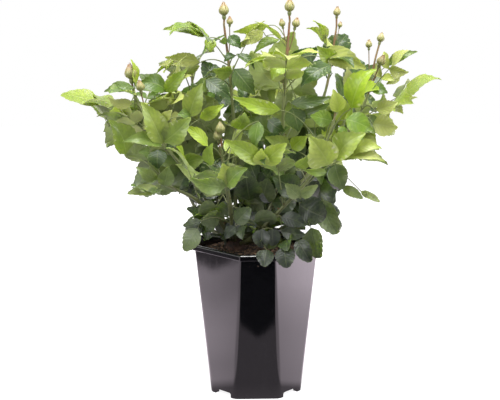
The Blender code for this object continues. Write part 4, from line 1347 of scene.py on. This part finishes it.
def buildChips():
    p = Tree("barkChips", chipForm)
    flake = p.node("GeometryNodeMeshIcoSphere", {"Radius": 1.0, "Subdivisions": 2})
    rough = p.node("ShaderNodeTexNoise", {"Vector": p.node("GeometryNodeInputPosition")[0],
                                          "Scale": flakeForm["jagged"], "Detail": 1.0})
    push = p.node("ShaderNodeVectorMath", {0: rough["Color"], 1: (0.5, 0.5, 0.5)}, operation="SUBTRACT")
    jagged = p.node("GeometryNodeSetPosition", {"Geometry": flake["Mesh"], "Offset": push[0]})
    scale = p.node("ShaderNodeVectorMath", {0: p.chance(flakeForm["smallest"], flakeForm["largest"], 3),
                                            "Scale": p.start["Size"]}, operation="SCALE")
    lean = flakeForm["lean"]
    lowest, reach = soilForm["edge"] - chipZone["below"], potForm["sideTop"] * chipZone["across"]
    ground = groundOf("chipGround", [soil], lambda middle, normal: (
        normal.z >= chipZone["flat"] and middle.z >= lowest and abs(middle.x) + abs(middle.y) <= reach))
    chips = p.scatter(ground, "rose_bark_chips", jagged[0],
                      p.chance((-lean, -lean, 0.0), (lean, lean, flakeForm["turn"]), 2), scale[0], barkChips)
    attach(chips, "root")
    print("bark chips, faces:", len(chips.data.polygons))


buildChips()

# ---- graft union: a knotted knuckle of old wood with one sawn-off cane


def buildUnion():
    center, radius, tint = Vector(union["center"]), union["radius"], (0.1, 0.0, 0.5)
    bm = bmesh.new()
    bmesh.ops.create_uvsphere(bm, u_segments=union["sides"], v_segments=union["rings"], radius=radius,
                              matrix=Matrix.Translation(center))
    for vert in bm.verts:
        way = (vert.co - center).normalized()
        knots = noise.noise(way * 2.3 + Vector((3, 1, 7))) * 0.8 + noise.noise(way * 5.5) * 0.35
        vert.co += way * (union["knots"] * min(knots, 0.25))
    shape = Shape()
    bm.verts.ensure_lookup_table()
    shape.add([v.co for v in bm.verts], [[v.index for v in f.verts] for f in bm.faces], 0,
              [(0.0, 0.0)] * len(bm.verts), [tint] * len(bm.verts))
    bm.free()
    foot, stub = center - Vector((0, 0, union["shankDepth"])), Vector(union["stubEnd"])
    addTube(shape, [foot.lerp(center, k / 5) for k in range(6)],
            [union["shankRadius"] * (0.6 + 0.08 * k) for k in range(6)], 12, 0, [tint] * 6)
    shares = [k / 8 for k in range(8)] + [0.975, 1.0]
    radii = [union["stubRadius"] * (0.7 + 0.0375 * k) for k in range(8)]
    radii += [union["stubRadius"], union["stubRadius"] * 0.93]
    addTube(shape, [center.lerp(stub, share) for share in shares], radii, 18, 0, [tint] * 10)
    piece = shape.make("rose_graft_union", [oldBark], 50)
    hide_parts("graft_union")
    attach(piece, "root")


buildUnion()

# ---- prickles on the lower canes

prickleForm = {"Density": 1500.0, "Spacing": 0.009, "Size": 0.0042, "Seed": 3}
thornForm = {"sides": 7, "rings": 3, "tip": 0.02, "foot": 0.32, "hook": -0.35, "sizes": (0.55, 1.0),
             "heights": (0.262, 0.50)}


def buildPrickles():
    p = Tree("prickles", prickleForm)
    form = thornForm
    thorn = p.node("GeometryNodeMeshCone", {"Vertices": form["sides"], "Side Segments": form["rings"],
                                            "Radius Top": form["tip"], "Radius Bottom": form["foot"],
                                            "Depth": 1.0})
    height = p.node("ShaderNodeSeparateXYZ", {0: p.node("GeometryNodeInputPosition")[0]})["Z"]
    bent = p.node("ShaderNodeCombineXYZ", {"X": p.mul(p.math("POWER", height, 2.0), form["hook"])})
    hooked = p.node("GeometryNodeSetPosition", {"Geometry": thorn["Mesh"], "Offset": bent[0]})
    size = p.node("FunctionNodeRandomValue", {2: form["sizes"][0], 3: form["sizes"][1], "Seed": 4},
                  data_type="FLOAT")[1]
    ground = groundOf("prickleGround", canePieces,
                      lambda middle, _: form["heights"][0] <= middle.z <= form["heights"][1])
    prickles = p.scatter(ground, "rose_prickles", hooked[0], p.points["Rotation"],
                         p.mul(size, p.start["Size"]), prickleSkin)
    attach(prickles, "root")
    print("prickles, faces:", len(prickles.data.polygons))


buildPrickles()

# ---- studio: white to the lens everywhere; in reflections the floor is white only near the object

studio = {"floorSize": 6.0, "floorHeight": -0.0002, "floor": (0.38, 0.38, 0.39), "world": 0.36,
          "lensLevel": 0.86,
          "paper": ((-1.20, 0.14), (-0.705, 0.16), (-0.68, 1.20), (-0.65, 1.38), (-0.61, 1.29), (-0.51, 1.27),
                    (-0.42, 1.55), (-0.34, 1.68), (-0.26, 1.60), (-0.19, 1.38), (-0.12, 1.42), (-0.085, 0.45),
                    (0.085, 0.45), (0.11, 1.33), (0.22, 1.45), (0.34, 1.50), (0.42, 1.62), (0.51, 1.83),
                    (0.56, 1.96), (0.61, 2.16), (0.75, 2.28)),
          "paperTint": (1.0, 0.870, 0.970), "paperFront": -0.274, "paperCut": 1.45, "paperMiddle": 0.010,
          "edge": 0.010, "point": 1.3, "pointMiddle": -0.05, "pointFrom": -0.4,
          "fade": (-0.12, 0.06, 0.62, 1.60)}
# of each box: its place, what it faces, its size and its power
softBoxes = {"topBox": ((0.1, -0.4, 2.3), (0, 0, 0.4), (1.2, 1.2), 80),
             "leftBox": ((-1.9, -1.3, 1.4), (0, 0, 0.35), (1.0, 1.4), 42),
             "rightBox": ((1.9, -1.0, 1.4), (0, 0, 0.35), (1.0, 1.4), 44)}


def floorMaterial(look):
    # a matte floor with a glow that only the lens sees; a glossy surface sees a lit sheet of paper instead,
    # which ends at the left, and in front in a shallow point
    material, p = newMaterial("studioFloor")
    p.tree.nodes.remove(p.shader)
    path = p.node("ShaderNodeLightPath")
    matte = p.node("ShaderNodeBsdfDiffuse", {"Color": look["floor"]})
    glow = p.node("ShaderNodeEmission", {"Strength": p.mul(path["Is Camera Ray"], look["lensLevel"])})
    ground = p.node("ShaderNodeAddShader", {0: matte[0], 1: glow[0]})
    first, brightest = look["paper"][0][0], max(level for _, level in look["paper"])
    bend = p.math("ABSOLUTE", p.sub(p.y, look["pointMiddle"]))
    bent = p.node("ShaderNodeMix", {0: p.math("LESS_THAN", p.x, look["pointFrom"]), 2: p.x,
                                    3: p.add(p.x, p.mul(bend, look["point"]))})[0]
    level = p.ramp(p.range(bent, first, -first, smooth=False),
                   [(place - first) / (-2 * first) for place, _ in look["paper"]],
                   [(level / brightest,) * 3 for _, level in look["paper"]])
    aside = p.math("ABSOLUTE", p.sub(p.x, look["paperMiddle"]))
    front = p.range(p.add(p.y, p.mul(aside, look["paperCut"])),
                    look["paperFront"] - look["edge"], look["paperFront"] + look["edge"])
    level = p.mul(level, p.range(p.y, *look["fade"], smooth=False))
    paper = p.node("ShaderNodeEmission", {"Color": look["paperTint"],
                                          "Strength": p.mul(p.mul(level, brightest), front)})
    seen = p.node("ShaderNodeMixShader", {0: path["Is Glossy Ray"], 1: ground[0], 2: paper[0]})
    p.feed(p.tree.nodes["Material Output"].inputs["Surface"], seen[0])
    return material


def buildStudio():
    bm = bmesh.new()
    bmesh.ops.create_grid(bm, x_segments=1, y_segments=1, size=studio["floorSize"] / 2)
    floor = meshPiece("studioFloor", bm, floorMaterial(studio))
    floor.location.z = studio["floorHeight"]
    floor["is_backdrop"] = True
    scene.world = bpy.data.worlds.new("studioWorld")
    scene.world.use_nodes = True
    p = Nodes(scene.world.node_tree)
    path = p.node("ShaderNodeLightPath")
    seen = p.math("MAXIMUM", path["Is Camera Ray"], path["Is Glossy Ray"])
    seen = p.math("MAXIMUM", seen, path["Is Transmission Ray"])
    background = p.tree.nodes["Background"].inputs
    p.feed(background["Strength"], p.add(p.mul(seen, 1 - studio["world"]), studio["world"]))
    p.feed(background["Color"], (1, 1, 1))
    for name, (place, target, size, power) in softBoxes.items():
        data = bpy.data.lights.new(name, "AREA")
        data.shape, data.energy = "RECTANGLE", power
        data.size, data.size_y = size
        light = addObject(name, data)
        light.location = place
        light.rotation_euler = (Vector(target) - Vector(place)).to_track_quat("-Z", "Y").to_euler()


buildStudio()

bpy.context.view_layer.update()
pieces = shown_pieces()
print("triangles:", sum(len(p.vertices) - 2 for o in pieces for p in o.data.polygons), "pieces:", len(pieces))
